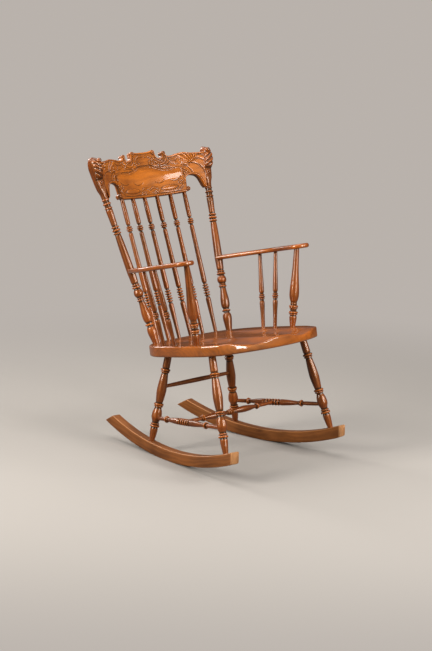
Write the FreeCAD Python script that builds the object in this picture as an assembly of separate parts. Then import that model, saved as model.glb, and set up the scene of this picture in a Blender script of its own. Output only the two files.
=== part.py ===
import FreeCAD, Part
import os
from math import cos, pi, radians, sin, sqrt, tan

from FreeCAD import Placement, Rotation, Vector

# A spindle-back rocking armchair in turned and sawn wood, in millimetres.
# X runs to the sitter's left, -Y is the way the chair faces and +Z is up.
# The origin is on the floor, midway between the two lines on which the rockers stand at rest.
# Everything is made for the left side or the middle, and the right side is its mirror image.

# Seat: a thick board that falls to the back, with the sitter's two hollows cut in its top
seat_width = 494.0
seat_depth = 480.0
seat_ahead = 82.0                # the board's middle stands ahead of the origin
seat_thickness = 36.0
seat_height = 385.0              # top of the board above the floor, over the origin
seat_slope = 10.3                # degrees, the front is higher
seat_corner_inset = 24.0         # of the two front corners from the sides
seat_front_bow = 60.0            # how far the middle of the front edge stands ahead of them
seat_corner_clip = 68.0          # length of the flat that clips each front corner
seat_back_bow = 16.0
seat_chamfer = 4.0
hollow_depth = 13.0              # of each of the two hollows, where it runs out at the front
hollow_spacing = 228.0
hollow_radius = 250.0            # across the seat
hollow_length = 350.0            # from the front edge back to where the hollow ends
seat_side = seat_width / 2       # the places below are tied to the edges of the board
seat_front = -seat_ahead - seat_depth / 2
seat_back = seat_front + seat_depth

# Rockers: sawn boards whose underside is two arcs that meet at the floor
rocker_spacing = seat_width - 82.0   # middle to middle, at the floor contact
rocker_toe = 6.8                 # degrees, the fronts stand wider
rocker_front_radius = 1000.0
rocker_rear_radius = 1022.0
rocker_front_reach = 370.0       # along the rocker from the floor contact
rocker_rear_reach = 343.0
rocker_depth = 38.0
rocker_thickness = 30.0
rocker_tail_slant = 44.0         # how much longer the underside is at the rear end
rocker_nose_round = 13.0

# Legs
front_foot_reach = 317.0         # along the rocker from the floor contact to the leg's middle
rear_foot_reach = 88.0
front_leg_head = (seat_side - 39.0, seat_front + 113.0)  # on the underside of the seat
rear_leg_head = (seat_side - 111.0, seat_back - 86.0)
leg_radius = 16.8
leg_foot_radius = 8.8
leg_neck_radius = 12.2
leg_head_radius = 11.8

# Stretchers
front_side_stretcher_level = 0.262   # share of the front leg's length, up from the rocker
rear_side_stretcher_level = 0.262
rear_stretcher_level = 0.615
side_stretcher_radius = 11.5
centre_stretcher_radius = 11.0
rear_stretcher_radius = 8.0
stretcher_end_radius = 6.0
centre_stretcher_place = 0.45    # share of the side stretcher, from its rear end

# Back: posts, spindles and crest rail follow one plane that leans back
back_rake = 21.4                 # degrees from the vertical
back_set = -0.5                  # from the raked plane through the origin to the middle spindles
back_radius = 645.0              # the curve of the crest rail, hollow towards the sitter
back_length = 1037.0             # up the raked plane, from the origin's level to the crown
post_foot_x = seat_side - 79.0
post_set = -42.5                 # the posts stand ahead of the raked plane
post_splay = 7.65                # degrees outwards
post_radius = 15.0
spindle_count = 6
spindle_foot_pitch = 52.6
spindle_head_pitch = 56.8
spindle_radius = 10.0
spindle_end_radius = 6.4

# Crest rail: a bent board with a scrolled outline
crest_height = 161.0
crest_thickness = 19.0
crest_arch_width = 66.0
crest_arch_height = 58.0
crest_horn_width = 9.0
crown_half = 53.0                # from the middle to where the raised crown ends
hook_place = 90.0                # from the middle to the hook scroll beside the crown
scroll_drop = 8.0                # from the crown down to that scroll

# Ears: the flat heads of the posts, on both sides of the crest rail
ear_top_drop = 14.0              # below the crown
ear_depth = 25.0
ear_inner = 12.5                 # from the post's axis to the face that the rail meets
ear_outer = 19.0
ear_length = 142.0
ear_roll = 19.0                  # how far the rolled top stands ahead of the ear's front
boss_radius = 9.5                # the round boss on the ear's front
boss_rise = 6.0

# Arms
arm_height = 647.5               # middle of the arm's thickness above the floor, over the origin
arm_slope = 13.3                 # degrees, the front is higher
arm_thickness = 15.0
arm_rear_width = 41.0
arm_waist_width = 46.0
paddle_radius = 35.0
paddle_middle = (seat_side + 17.0, seat_front + 193.0)
arm_post_foot = (seat_side - 26.0, seat_front + 171.0)  # on the seat
arm_post_head = (seat_side + 5.0, seat_front + 190.0)   # under the arm
arm_post_radius = 16.2
rear_arm_spindle_foot = (seat_side - 18.0, seat_back - 164.0)
rear_arm_spindle_head = (seat_side + 18.0, seat_back - 105.0)
front_arm_spindle_foot = (seat_side - 16.0, seat_back - 218.0)
front_arm_spindle_head = (seat_side + 30.0, seat_back - 168.0)
arm_spindle_radius = 9.6

# Turned pieces
least_sides = 8                  # flats round a thin one, few enough to keep its facets few
sides_by_radius = 0.4            # how many more a thick one has, for each millimetre of radius
least_step = 0.01                # stations nearer to each other than this count as one

# Joints
fit_gap = 0.1                    # between a round tenon and the wall of its socket
seat_socket = 24.0               # depth of a leg's or post's tenon in the seat
rocker_socket = 24.0
arm_socket = 11.0
crest_socket = 18.0
stretcher_socket = 12.0
centre_stretcher_socket = 8.0
notch_depth = 4.0                # how far the arm's rear end is hollowed to fit the post
notch_room = 60.0
screw_radius = 2.4
screw_head_radius = 4.6
screw_head_height = 2.6
screw_sink = 3.0                 # the screw's head sits this deep in the post's back
screw_length = 46.0
screw_room = 20.0                # the hole for the head opens backwards over this length
dowel_radius = 4.5
dowel_length = 30.0
dowel_spacing = 68.0

leans = {"seat": seat_slope, "back": back_rake, "arm": arm_slope}


def leaning(shape, kind, height=0.0):
    """Put a shape drawn round the level plane on the plane of the seat, the back or the arms."""
    placed = shape.copy()
    slope = Placement(Vector(0, 0, height), Rotation(Vector(1, 0, 0), -leans[kind]))
    placed.Placement = slope.multiply(shape.Placement)
    return placed


def mirrored(shape):
    return shape.mirror(Vector(0, 0, 0), Vector(1, 0, 0))


def sloped_point(x, y, height, slope, below):
    """A point on a plane that falls to the back, or square below it, at a place in plan."""
    angle = radians(slope)
    return Vector(x, y, height - y * tan(angle) - below / cos(angle))


def seat_point(x, y, below=0.0):
    return sloped_point(x, y, seat_height, seat_slope, below)


def arm_point(x, y, below=0.0):
    return sloped_point(x, y, arm_height, arm_slope, below)


def back_point(x, out, up):
    """A point of the back: across, out of the raked plane through the origin, and up it."""
    lean = radians(back_rake)
    return Vector(x, out * cos(lean) + up * sin(lean), up * cos(lean) - out * sin(lean))


def back_seat_level(out):
    """How far up the raked plane the seat's top is met, at the given distance out of it."""
    lean = radians(back_rake)
    fall = tan(radians(seat_slope))
    return (seat_height + out * (sin(lean) - cos(lean) * fall)) / (cos(lean) + sin(lean) * fall)


def on_curve(x):
    """How far out the curve through the spindles and the crest rail lies at x."""
    return back_set - back_radius + sqrt(back_radius ** 2 - x ** 2)


def outline(steps):
    """A closed wire. Each step is the next corner, or a point on an arc and then its end."""
    corners = [Vector(*step[-1], 0) for step in steps]
    edges = []
    start = corners[-1]
    for step, end in zip(steps, corners):
        if len(step) == 2:
            edges.append(Part.Arc(start, Vector(*step[0], 0), end).toShape())
        else:
            edges.append(Part.makeLine(start, end))
        start = end
    return Part.Wire(edges)


def slab(steps, low, high):
    """The outline as a board between two levels."""
    board = Part.Face(outline(steps)).extrude(Vector(0, 0, high - low))
    board.translate(Vector(0, 0, low))
    return board


class Turning:
    """A round piece between two points, turned to a pattern, with a tenon on each end.

    The pattern runs from the foot to the head. Each station is a share of the length and a
    radius. The tenons carry on with the first and the last radius.
    """

    def __init__(self, foot, head, pattern, foot_tenon=0.0, head_tenon=0.0):
        self.foot = foot
        self.head = head
        self.along = (head - foot).normalize()
        self.length = (head - foot).Length
        self.pattern = pattern
        self.foot_tenon = foot_tenon
        self.head_tenon = head_tenon

    def place(self, share):
        return self.foot + self.along * (share * self.length)

    def radius(self, share):
        """The radius at a share of the length."""
        before = self.pattern[0]
        for station in self.pattern[1:]:
            if station[0] >= share:
                part = (share - before[0]) / (station[0] - before[0])
                return before[1] + part * (station[1] - before[1])
            before = station
        return before[1]

    def ruled(self, stations):
        """A solid on the axis through rings of corners at heights, with flats from ring to ring."""
        distinct = stations[:1]
        for height, radius in stations[1:]:
            before = distinct[-1]
            if max(abs(height - before[0]), abs(radius - before[1])) > least_step:
                distinct.append((height, radius))
        thickest = max(radius for height, radius in distinct)
        sides = least_sides + int(sides_by_radius * thickest)
        turns = [2 * pi * side / sides for side in range(sides)]
        rings = [[Vector(radius * cos(turn), radius * sin(turn), height) for turn in turns]
                 for height, radius in distinct]
        flats = [rings[0], rings[-1]]
        for low, high in zip(rings, rings[1:]):
            for side in range(sides):
                flats.append([low[side - 1], low[side], high[side], high[side - 1]])
        shell = Part.Shell([Part.Face(Part.makePolygon(flat + flat[:1])) for flat in flats])
        shell.sewShape()
        found = Part.Solid(shell)
        found.Placement = Placement(self.foot, Rotation(Vector(0, 0, 1), self.along))
        return found

    def solid(self):
        stations = [(share * self.length, radius) for share, radius in self.pattern]
        if self.foot_tenon:
            stations.insert(0, (-self.foot_tenon, stations[0][1]))
        if self.head_tenon:
            stations.append((self.length + self.head_tenon, stations[-1][1]))
        return self.ruled(stations)

    def socket(self, end, room=40.0):
        """The hole that takes this piece's foot or head tenon, open towards the piece."""
        if end == "foot":
            radius = self.pattern[0][1] + fit_gap
            return self.ruled([(-self.foot_tenon, radius), (room, radius)])
        radius = self.pattern[-1][1] + fit_gap
        return self.ruled([(self.length - room, radius),
                           (self.length + self.head_tenon, radius)])


def bead(middle, width, radius, neck):
    """Stations for a ring that rises to an edge and falls again to its neck."""
    return [(middle - width / 2, neck), (middle, radius), (middle + width / 2, neck)]


def swell(start, end, radius, neck):
    """Stations for a ball, barrel or vase, widest a little below its middle."""
    length = end - start
    return [(start, neck), (start + 0.25 * length, radius),
            (start + 0.55 * length, radius - 0.5), (end, neck)]


def rocker_point(reach, height):
    """A point over the left rocker's middle line, at a reach from the floor contact."""
    toe = radians(rocker_toe)
    return Vector(rocker_spacing / 2 - reach * sin(toe), reach * cos(toe), height)


def arc_height(reach, radius):
    return radius - sqrt(radius ** 2 - reach ** 2)


def rocker_top(reach):
    radius = rocker_front_radius if reach < 0 else rocker_rear_radius
    return radius - sqrt((radius - rocker_depth) ** 2 - reach ** 2)


def leg_pattern():
    neck = leg_neck_radius
    return (
        [(0.0, leg_foot_radius)]
        + bead(0.182, 0.05, leg_radius - 0.5, neck)
        + swell(0.215, 0.385, leg_radius, neck)
        + bead(0.405, 0.04, leg_radius - 0.5, neck)
        + swell(0.43, 0.77, leg_radius - 1.0, neck)
        + bead(0.80, 0.045, leg_radius - 0.8, neck)
        + [(1.0, leg_head_radius)]
    )


def post_pattern():
    """The turned part of a back post, from the seat up to its ear."""
    full = post_radius
    neck = full - 3.2
    waist = 9.8
    return (
        [(0.0, 10.6)] + [(0.06, full), (0.095, full), (0.125, neck)]
        + bead(0.135, 0.02, full - 1.2, neck)
        + [(0.18, full - 0.6), (0.225, full - 0.9), (0.29, neck - 1.0)]
        + bead(0.306, 0.02, full - 2.0, neck - 1.0)
        + [(0.33, full), (0.375, full), (0.392, neck)]
        + [(0.49, full - 1.5), (0.63, neck + 0.6), (0.75, waist)]
        + bead(0.765, 0.022, neck + 0.8, waist) + bead(0.795, 0.022, neck + 0.8, waist)
        + [(0.92, neck - 0.3)]
        + bead(0.945, 0.03, neck + 0.8, neck - 0.3)
        + [(1.0, neck)]
    )


def back_spindle_pattern():
    slim = spindle_radius - 2.2
    return [
        (0.0, spindle_end_radius), (0.24, slim), (0.26, spindle_radius),
        (0.335, spindle_radius), (0.355, slim), (0.775, slim - 1.0),
        (0.792, spindle_radius - 0.8), (0.81, slim - 1.0), (1.0, spindle_end_radius),
    ]


def arm_post_pattern():
    full = arm_post_radius
    slim = 11.6
    return (
        [(0.0, 9.0)]
        + bead(0.17, 0.05, full - 1.0, slim) + bead(0.245, 0.05, full - 1.0, slim)
        + [(0.31, slim), (0.40, full), (0.50, full - 0.8), (0.74, slim - 1.0), (1.0, 8.6)]
    )


def arm_spindle_pattern():
    full = arm_spindle_radius
    slim = full - 1.6
    return (
        [(0.0, 6.6), (0.375, slim)] + bead(0.41, 0.05, full, slim)
        + [(0.55, slim - 0.2), (1.0, 6.0)]
    )


def side_stretcher_pattern():
    full = side_stretcher_radius
    slim = 7.4
    return (
        [(0.0, stretcher_end_radius)] + bead(0.155, 0.04, full, slim)
        + [(0.37, full - 2.0), (0.39, full), (0.50, full), (0.52, full - 2.0)]
        + bead(0.78, 0.04, full, slim) + [(1.0, stretcher_end_radius)]
    )


def centre_stretcher_pattern():
    full = centre_stretcher_radius
    slim = 7.0
    return (
        [(0.0, stretcher_end_radius), (0.165, slim), (0.185, full), (0.21, slim)]
        + [(0.33, full), (0.46, slim), (0.5, full - 0.8), (0.54, slim), (0.67, full)]
        + [(0.79, slim), (0.815, full), (0.835, slim), (1.0, stretcher_end_radius)]
    )


def rear_stretcher_pattern():
    return [(0.0, stretcher_end_radius), (0.5, rear_stretcher_radius), (1.0, stretcher_end_radius)]


def leg(reach, head):
    foot = rocker_point(reach, rocker_top(reach))
    return Turning(foot, seat_point(*head, below=seat_thickness), leg_pattern(),
                   rocker_socket, seat_socket)


def stretcher(start, end, inset, pattern, tenon):
    """A stretcher between two axes, whose shoulders stand off from them by the inset."""
    along = (end - start).normalize()
    return Turning(start + along * inset, end - along * inset, pattern, tenon, tenon)


front_leg = leg(-front_foot_reach, front_leg_head)
rear_leg = leg(rear_foot_reach, rear_leg_head)
leg_side = leg_radius - 3.0      # where a stretcher's shoulder meets the round side of a leg
stretcher_side = side_stretcher_radius - 3.0

side_stretcher = stretcher(
    rear_leg.place(rear_side_stretcher_level), front_leg.place(front_side_stretcher_level),
    leg_side, side_stretcher_pattern(), stretcher_socket,
)
rear_end = rear_leg.place(rear_stretcher_level)
rear_stretcher = stretcher(
    Vector(-rear_end.x, rear_end.y, rear_end.z), rear_end,
    leg_side, rear_stretcher_pattern(), stretcher_socket,
)
centre_end = side_stretcher.place(centre_stretcher_place)
centre_stretcher = stretcher(
    Vector(-centre_end.x, centre_end.y, centre_end.z), centre_end,
    stretcher_side, centre_stretcher_pattern(), centre_stretcher_socket,
)


def post_axis(up):
    """The point of the left post's axis at a distance up the raked plane."""
    rise = up - back_seat_level(post_set)
    return back_point(post_foot_x + rise * tan(radians(post_splay)), post_set, up)


ear_bottom = back_length - ear_top_drop - ear_length * cos(radians(post_splay))
back_post = Turning(post_axis(back_seat_level(post_set)), post_axis(ear_bottom),
                    post_pattern(), seat_socket, 0.0)
crest_bottom = back_length - crest_height


def back_spindle(number):
    """Spindle 1 is the sitter's rightmost."""
    step = number - (spindle_count + 1) / 2
    foot_x = step * spindle_foot_pitch
    head_x = step * spindle_head_pitch
    foot_out = on_curve(foot_x)
    foot = back_point(foot_x, foot_out, back_seat_level(foot_out))
    head = back_point(head_x, on_curve(head_x), crest_bottom)
    return Turning(foot, head, back_spindle_pattern(), seat_socket, crest_socket)


def arm_stile(foot, head, pattern):
    return Turning(seat_point(*foot), arm_point(*head, below=arm_thickness / 2), pattern,
                   seat_socket, arm_socket)


arm_post = arm_stile(arm_post_foot, arm_post_head, arm_post_pattern())
rear_arm_spindle = arm_stile(rear_arm_spindle_foot, rear_arm_spindle_head, arm_spindle_pattern())
front_arm_spindle = arm_stile(front_arm_spindle_foot, front_arm_spindle_head,
                              arm_spindle_pattern())


def both_sides(left, first_middle, last_middle):
    """A closed outline from the steps of its left side.

    The sides are joined at the first and the last point of the left one, by an arc through the
    given middle or, where that is None, by a straight line.
    """
    def joint(middle, end):
        return (middle, end) if middle else (end,)

    def opposite(point):
        return (-point[0], point[1])

    right = []
    for step, before in zip(left[:0:-1], left[-2::-1]):
        middle = opposite(step[0]) if len(step) == 2 else None
        right.append(joint(middle, opposite(before[-1])))
    end = opposite(left[-1][-1])
    return left[1:] + [joint(last_middle, end)] + right + [joint(first_middle, left[0][-1])]


def seat_outline(inset):
    """The board's outline, drawn smaller on all sides by the inset."""
    half = seat_side - inset
    front = seat_front + inset
    back = seat_back - inset
    corner = (half - seat_corner_inset, front + seat_front_bow)
    shoulder_y = corner[1] + sqrt(seat_corner_clip ** 2 - seat_corner_inset ** 2)
    hip = (half - 9.0, back - 0.28 * seat_depth)
    tail = (half * 0.585, back - seat_back_bow)
    left = [
        (corner,),
        ((half, shoulder_y),),
        ((half + 1.0, (shoulder_y + hip[1]) / 2), hip),
        ((half * 0.845, back - 0.14 * seat_depth), tail),
    ]
    return both_sides(left, (0.0, front), (0.0, back))


def make_seat():
    layers = []
    for inset, below in ((seat_chamfer, 0.0), (0.0, seat_chamfer),
                         (0.0, seat_thickness - seat_chamfer), (seat_chamfer, seat_thickness)):
        layer = outline(seat_outline(inset))
        layer.translate(Vector(0, 0, -below))
        layers.append(layer)
    board = Part.makeLoft(layers, True, True)
    # Each hollow is cut by a large roller, tipped so that it rises out of the seat at the back
    for side in (-1, 1):
        start = Vector(side * hollow_spacing / 2, seat_front, hollow_radius - hollow_depth)
        rise = Vector(0, hollow_length, hollow_depth)
        board = board.cut(Part.makeCylinder(hollow_radius, rise.Length * 1.2,
                                            start - rise * 0.1, rise))
    seat = leaning(board, "seat", seat_height)
    for piece in (front_leg, rear_leg):
        hole = piece.socket("head")
        seat = seat.cut(hole).cut(mirrored(hole))
    for piece in (back_post, arm_post, rear_arm_spindle, front_arm_spindle):
        hole = piece.socket("foot")
        seat = seat.cut(hole).cut(mirrored(hole))
    for number in range(1, spindle_count + 1):
        seat = seat.cut(back_spindle(number).socket("foot"))
    return seat


def make_rocker():
    """Drawn in a vertical plane, reach across and height up, then turned to its toe."""
    front, rear = rocker_front_radius, rocker_rear_radius
    nose = -rocker_front_reach
    tail = rocker_rear_reach
    tail_top = tail - rocker_tail_slant
    inner_nose = nose + rocker_nose_round
    low = arc_height(inner_nose, front)
    high = rocker_top(inner_nose)
    steps = [
        ((inner_nose / 2, arc_height(inner_nose / 2, front)), (0.0, 0.0)),
        ((tail / 2, arc_height(tail / 2, rear)), (tail, arc_height(tail, rear))),
        ((tail_top, rocker_top(tail_top)),),
        ((tail_top / 2, rocker_top(tail_top / 2)), (0.0, rocker_depth)),
        ((inner_nose / 2, rocker_top(inner_nose / 2)), (inner_nose, high)),
        ((nose, (low + high) / 2), (inner_nose, low)),
    ]
    board = slab(steps, -rocker_thickness / 2, rocker_thickness / 2)
    board.rotate(Vector(0, 0, 0), Vector(1, 0, 0), 90)
    board.rotate(Vector(0, 0, 0), Vector(0, 0, 1), 90 + rocker_toe)
    board.translate(Vector(rocker_spacing / 2, 0, 0))
    return board.cut(front_leg.socket("foot")).cut(rear_leg.socket("foot"))


# An ear stands on the post's axis, its front square to the raked plane
ear_turn = Rotation(Vector(1, 0, 0), -back_rake).multiply(Rotation(Vector(0, 1, 0), post_splay))


def make_ear():
    """The flat head of a post: what its front view, its side view and a round throat share."""
    half = ear_depth / 2
    top = ear_length
    front_view = slab([
        ((ear_outer - 6.0, -1.0),),
        ((ear_outer - 7.5, top * 0.16), (ear_outer - 3.0, top * 0.3)),
        ((ear_outer, top * 0.42), (ear_outer - 2.0, top * 0.52)),
        ((ear_outer + 2.0, top * 0.74), (ear_outer, top * 0.9)),
        ((ear_outer - 8.0, top), (0.0, top)),
        ((-ear_inner, top * 0.94),),
        ((-ear_inner, -1.0),),
    ], -half - ear_roll, half)
    front_view.rotate(Vector(0, 0, 0), Vector(1, 0, 0), 90)
    front_view = front_view.mirror(Vector(0, 0, 0), Vector(0, 1, 0))
    side_view = slab([
        ((half, -1.0),),
        ((half, top * 0.8),),
        ((half * 0.6, top * 0.96), (-half * 0.5, top)),
        ((-half - ear_roll * 0.75, top * 0.93), (-half - ear_roll, top * 0.77)),
        ((-half - ear_roll * 0.7, top * 0.6), (-half, top * 0.5)),
        ((-half, -1.0),),
    ], -ear_inner, ear_outer + 3.0)
    side_view.rotate(Vector(0, 0, 0), Vector(1, 0, 0), 90)
    side_view.rotate(Vector(0, 0, 0), Vector(0, 0, 1), 90)
    throat = Turning(Vector(0, 0, 0), Vector(0, 0, top),
                     [(0.0, post_radius - 3.2), (0.2, 24.0), (1.0, 48.0)]).solid()
    boss = Turning(Vector(2.0, 0, top * 0.36), Vector(2.0, -half - boss_rise, top * 0.36),
                   [(0.0, boss_radius), (0.85, boss_radius), (1.0, boss_radius - 2.0)]).solid()
    ear = front_view.common(side_view).common(throat).fuse(boss)
    ear.Placement = Placement(back_post.head, ear_turn).multiply(ear.Placement)
    return ear


def make_post():
    post = back_post.solid().fuse(make_ear()).removeSplitter()
    return post.cut(screw_form(fit_gap, screw_room)).cut(dowel_holes())


def arm_joint():
    """Where the middle plane of the arm meets the post's axis, as a share of the post."""
    fall = tan(radians(arm_slope))
    foot = back_post.foot
    along = back_post.along
    distance = (arm_height - foot.y * fall - foot.z) / (along.z + along.y * fall)
    return distance / back_post.length


def joint_reach():
    """The post's largest radius where the arm passes, with as much again over and under it."""
    spread = arm_thickness / back_post.length
    return max(back_post.radius(arm_joint() + side * spread) for side in (-1.0, 0.0, 1.0))


joint_place = back_post.place(arm_joint())
joint_radius = joint_reach()
screw_line = (arm_point(0, -1.0) - arm_point(0, 0)).normalize()
screw_seat = joint_place - screw_line * (joint_radius - screw_sink)


def screw_form(gap, outwards):
    """The screw from the back of the post into the arm, or the hole for it when given a gap."""
    back = screw_seat - screw_line * outwards
    tip = screw_seat + screw_line * screw_length
    neck = outwards / (outwards + screw_length)
    pattern = [(0.0, screw_head_radius + gap), (neck, screw_head_radius + gap),
               (neck, screw_radius + gap), (1.0, screw_radius + gap)]
    return Turning(back, tip, pattern).solid()


def arm_edge(points, start, end):
    """A smooth edge of the arm through the points, with the given first and last directions."""
    curve = Part.BSplineCurve()
    curve.interpolate([Vector(x, y, 0) for x, y in points],
                      InitialTangent=Vector(*start, 0), FinalTangent=Vector(*end, 0))
    return curve.toShape()


def make_arm():
    """A flat board that swings out from the post and ends in a round paddle."""
    # Drawn on the arm's own plane, where distances along it are longer than in plan
    stretch = 1.0 / cos(radians(arm_slope))
    middle_x, middle_y = paddle_middle[0], paddle_middle[1] * stretch
    elbow_x, elbow_y = front_arm_spindle_head[0], front_arm_spindle_head[1] * stretch
    hip_x, hip_y = rear_arm_spindle_head[0], rear_arm_spindle_head[1] * stretch
    rear_x = joint_place.x
    rear_y = (joint_place.y - joint_radius + notch_depth) * stretch
    rear_half = arm_rear_width / 2
    waist_half = arm_waist_width / 2
    outer = [
        (rear_x + rear_half, rear_y),
        (hip_x + waist_half * 0.72, hip_y + 21.0),
        (elbow_x + waist_half, elbow_y + 6.0),
        (elbow_x + waist_half - 3.0, elbow_y - 49.0),
        (middle_x + paddle_radius, middle_y),
    ]
    inner = [
        (middle_x - paddle_radius, middle_y),
        (elbow_x - waist_half - 6.0, elbow_y - 54.0),
        (elbow_x - waist_half + 1.0, elbow_y - 4.0),
        (hip_x - waist_half - 3.0, hip_y - 4.0),
        (rear_x - rear_half, rear_y),
    ]
    paddle = Part.Arc(Vector(*outer[-1], 0), Vector(middle_x, middle_y - paddle_radius, 0),
                      Vector(*inner[0], 0))
    rear_end = Part.makeLine(Vector(*inner[-1], 0), Vector(*outer[0], 0))
    edges = [rear_end, arm_edge(outer, (0.35, -1), (0, -1)), paddle.toShape(),
             arm_edge(inner, (0, 1), (-0.5, 1))]
    board = Part.Face(Part.Wire(edges)).extrude(Vector(0, 0, arm_thickness))
    board.translate(Vector(0, 0, -arm_thickness / 2))
    arm = leaning(board, "arm", arm_height)
    notch = Part.makeCylinder(joint_radius + fit_gap, 2 * notch_room,
                              joint_place - back_post.along * notch_room, back_post.along)
    arm = arm.cut(notch).cut(screw_form(fit_gap, screw_head_height))
    for piece in (arm_post, rear_arm_spindle, front_arm_spindle):
        arm = arm.cut(piece.socket("head"))
    return arm


def dowels():
    """Start and direction of each dowel between the crest rail and the left ear."""
    found = []
    middle_up = crest_bottom + crest_height * 0.53
    for side in (-0.5, 0.5):
        up = middle_up + side * dowel_spacing
        x = post_axis(up).x - ear_inner / cos(radians(post_splay))
        # The rail's own direction where it meets the ear
        turn = x / back_radius
        direction = (back_point(cos(turn), -sin(turn), 0) - back_point(0, 0, 0)).normalize()
        found.append((back_point(x, on_curve(x), up) - direction * dowel_length / 2, direction))
    return found


def dowel_rods(radius):
    ends = [(0.0, radius), (1.0, radius)]
    return [Turning(start, start + along * dowel_length, ends).solid() for start, along in dowels()]


def dowel_holes():
    return Part.makeCompound(dowel_rods(dowel_radius + fit_gap))


def crest_outline():
    """The left side runs from the underside round the end, under the ear, to the crown."""
    up = crest_bottom
    top = back_length
    end = post_foot_x + (up - back_seat_level(post_set)) * tan(radians(post_splay))
    horn = end - ear_inner - crest_horn_width
    arch_middle = horn - crest_arch_width / 2
    arch_start = horn - crest_arch_width
    left = [
        ((arch_start + 2.0, up),),
        ((arch_start + 13.0, up + 8.0), (arch_start + 6.0, up + 22.0)),
        ((arch_start + 3.0, up + 40.0), (arch_middle, up + crest_arch_height)),
        ((horn - 7.0, up + crest_arch_height - 16.0), (horn, up + 7.0)),
        ((end, up + 5.0),),
        ((end + 60.0, top - 30.0),),
        ((arch_middle - 18.0, top - 21.5), (hook_place + 28.0, top - 27.0)),
        ((hook_place + 16.0, top - 27.0), (hook_place + 11.0, top - 18.0)),
        ((hook_place, top - scroll_drop), (hook_place - 12.0, top - 15.0)),
        ((crown_half + 13.0, top - 31.0), (crown_half, top - 15.0)),
        ((crown_half + 3.0, top - 4.0), (crown_half - 7.0, top)),
    ]
    return both_sides(left, None, (0.0, top - 2.0))


def make_crest():
    """A board bent to the curve of the back, sawn to the scrolled outline."""
    tall = back_length + 50.0
    deep = 400.0
    drawn = slab(crest_outline(), 0.0, deep)
    # Drawn flat, then stood up, so that its depth runs out of the raked plane
    drawn.rotate(Vector(0, 0, 0), Vector(1, 0, 0), 90)
    drawn.translate(Vector(0, deep / 2, 0))
    centre = Vector(0, back_set - back_radius, 0)
    outer = Part.makeCylinder(back_radius + crest_thickness / 2, tall, centre)
    inner = Part.makeCylinder(back_radius - crest_thickness / 2, tall, centre)
    rail = leaning(drawn.common(outer.cut(inner)), "back")
    # The ends meet the flat inner faces of the ears
    keep = Part.makeBox(2 * deep, deep, 2 * deep, Vector(-2 * deep - ear_inner, -deep / 2, -deep))
    keep.Placement = Placement(back_post.head, ear_turn).multiply(keep.Placement)
    rail = rail.common(keep).common(mirrored(keep))
    for number in range(1, spindle_count + 1):
        rail = rail.cut(back_spindle(number).socket("head"))
    return rail.cut(dowel_holes()).cut(mirrored(dowel_holes()))


def save(name, shape):
    assert shape.isValid(), name
    shape.exportStep(os.path.join("parts", name + ".step"))
    print(name, len(shape.Solids), round(shape.Volume / 1000.0, 1), "cm3")


def save_pair(name, left):
    save(name + "_left", left)
    save(name + "_right", mirrored(left))


def save_group(name, left_solids):
    save(name, Part.makeCompound(left_solids + [mirrored(one) for one in left_solids]))


os.makedirs("parts", exist_ok=True)
save("seat", make_seat())
save_pair("rocker", make_rocker())
save_pair("front_leg", front_leg.solid().cut(side_stretcher.socket("head")))
save_pair("rear_leg", rear_leg.solid().cut(side_stretcher.socket("foot"))
          .cut(rear_stretcher.socket("head")))
save_pair("side_stretcher", side_stretcher.solid().cut(centre_stretcher.socket("head")))
save("centre_stretcher", centre_stretcher.solid())
save("rear_stretcher", rear_stretcher.solid())
save_pair("back_post", make_post())
for number in range(1, spindle_count + 1):
    save("back_spindle_%d" % number, back_spindle(number).solid())
save("crest_rail", make_crest())
save_pair("arm", make_arm())
save_pair("arm_post", arm_post.solid())
save_pair("rear_arm_spindle", rear_arm_spindle.solid())
save_pair("front_arm_spindle", front_arm_spindle.solid())
save_group("arm_screws", [screw_form(0.0, screw_head_height)])
save_group("crest_dowels", dowel_rods(dowel_radius))
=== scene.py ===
from math import cos, pi, radians, sin, sqrt, tan

import bpy
import bmesh
import numpy as np
from mathutils import Matrix


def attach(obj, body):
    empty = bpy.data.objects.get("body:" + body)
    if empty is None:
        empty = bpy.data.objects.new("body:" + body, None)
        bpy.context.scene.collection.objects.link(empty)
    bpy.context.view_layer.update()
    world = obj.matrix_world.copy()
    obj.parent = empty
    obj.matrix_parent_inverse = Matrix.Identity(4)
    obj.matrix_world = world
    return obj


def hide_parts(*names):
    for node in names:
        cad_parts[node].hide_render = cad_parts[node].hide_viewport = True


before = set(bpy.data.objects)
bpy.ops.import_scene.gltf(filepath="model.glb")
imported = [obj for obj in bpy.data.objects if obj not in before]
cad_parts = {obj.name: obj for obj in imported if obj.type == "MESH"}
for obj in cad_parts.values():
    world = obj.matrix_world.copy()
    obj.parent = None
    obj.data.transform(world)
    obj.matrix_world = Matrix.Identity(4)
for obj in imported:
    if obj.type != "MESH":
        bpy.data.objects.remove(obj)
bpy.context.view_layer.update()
print("frame loaded")

mm = 0.001


# Small tools

def unit(vector):
    # The vector divided by its length
    return vector / np.linalg.norm(vector)


def easeBetween(value, low, high):
    # 0 below low, 1 above high, and the cubic 3t^2 - 2t^3 in between
    part = np.clip((value - low) / (high - low), 0.0, 1.0)
    return part * part * (3.0 - 2.0 * part)


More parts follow.
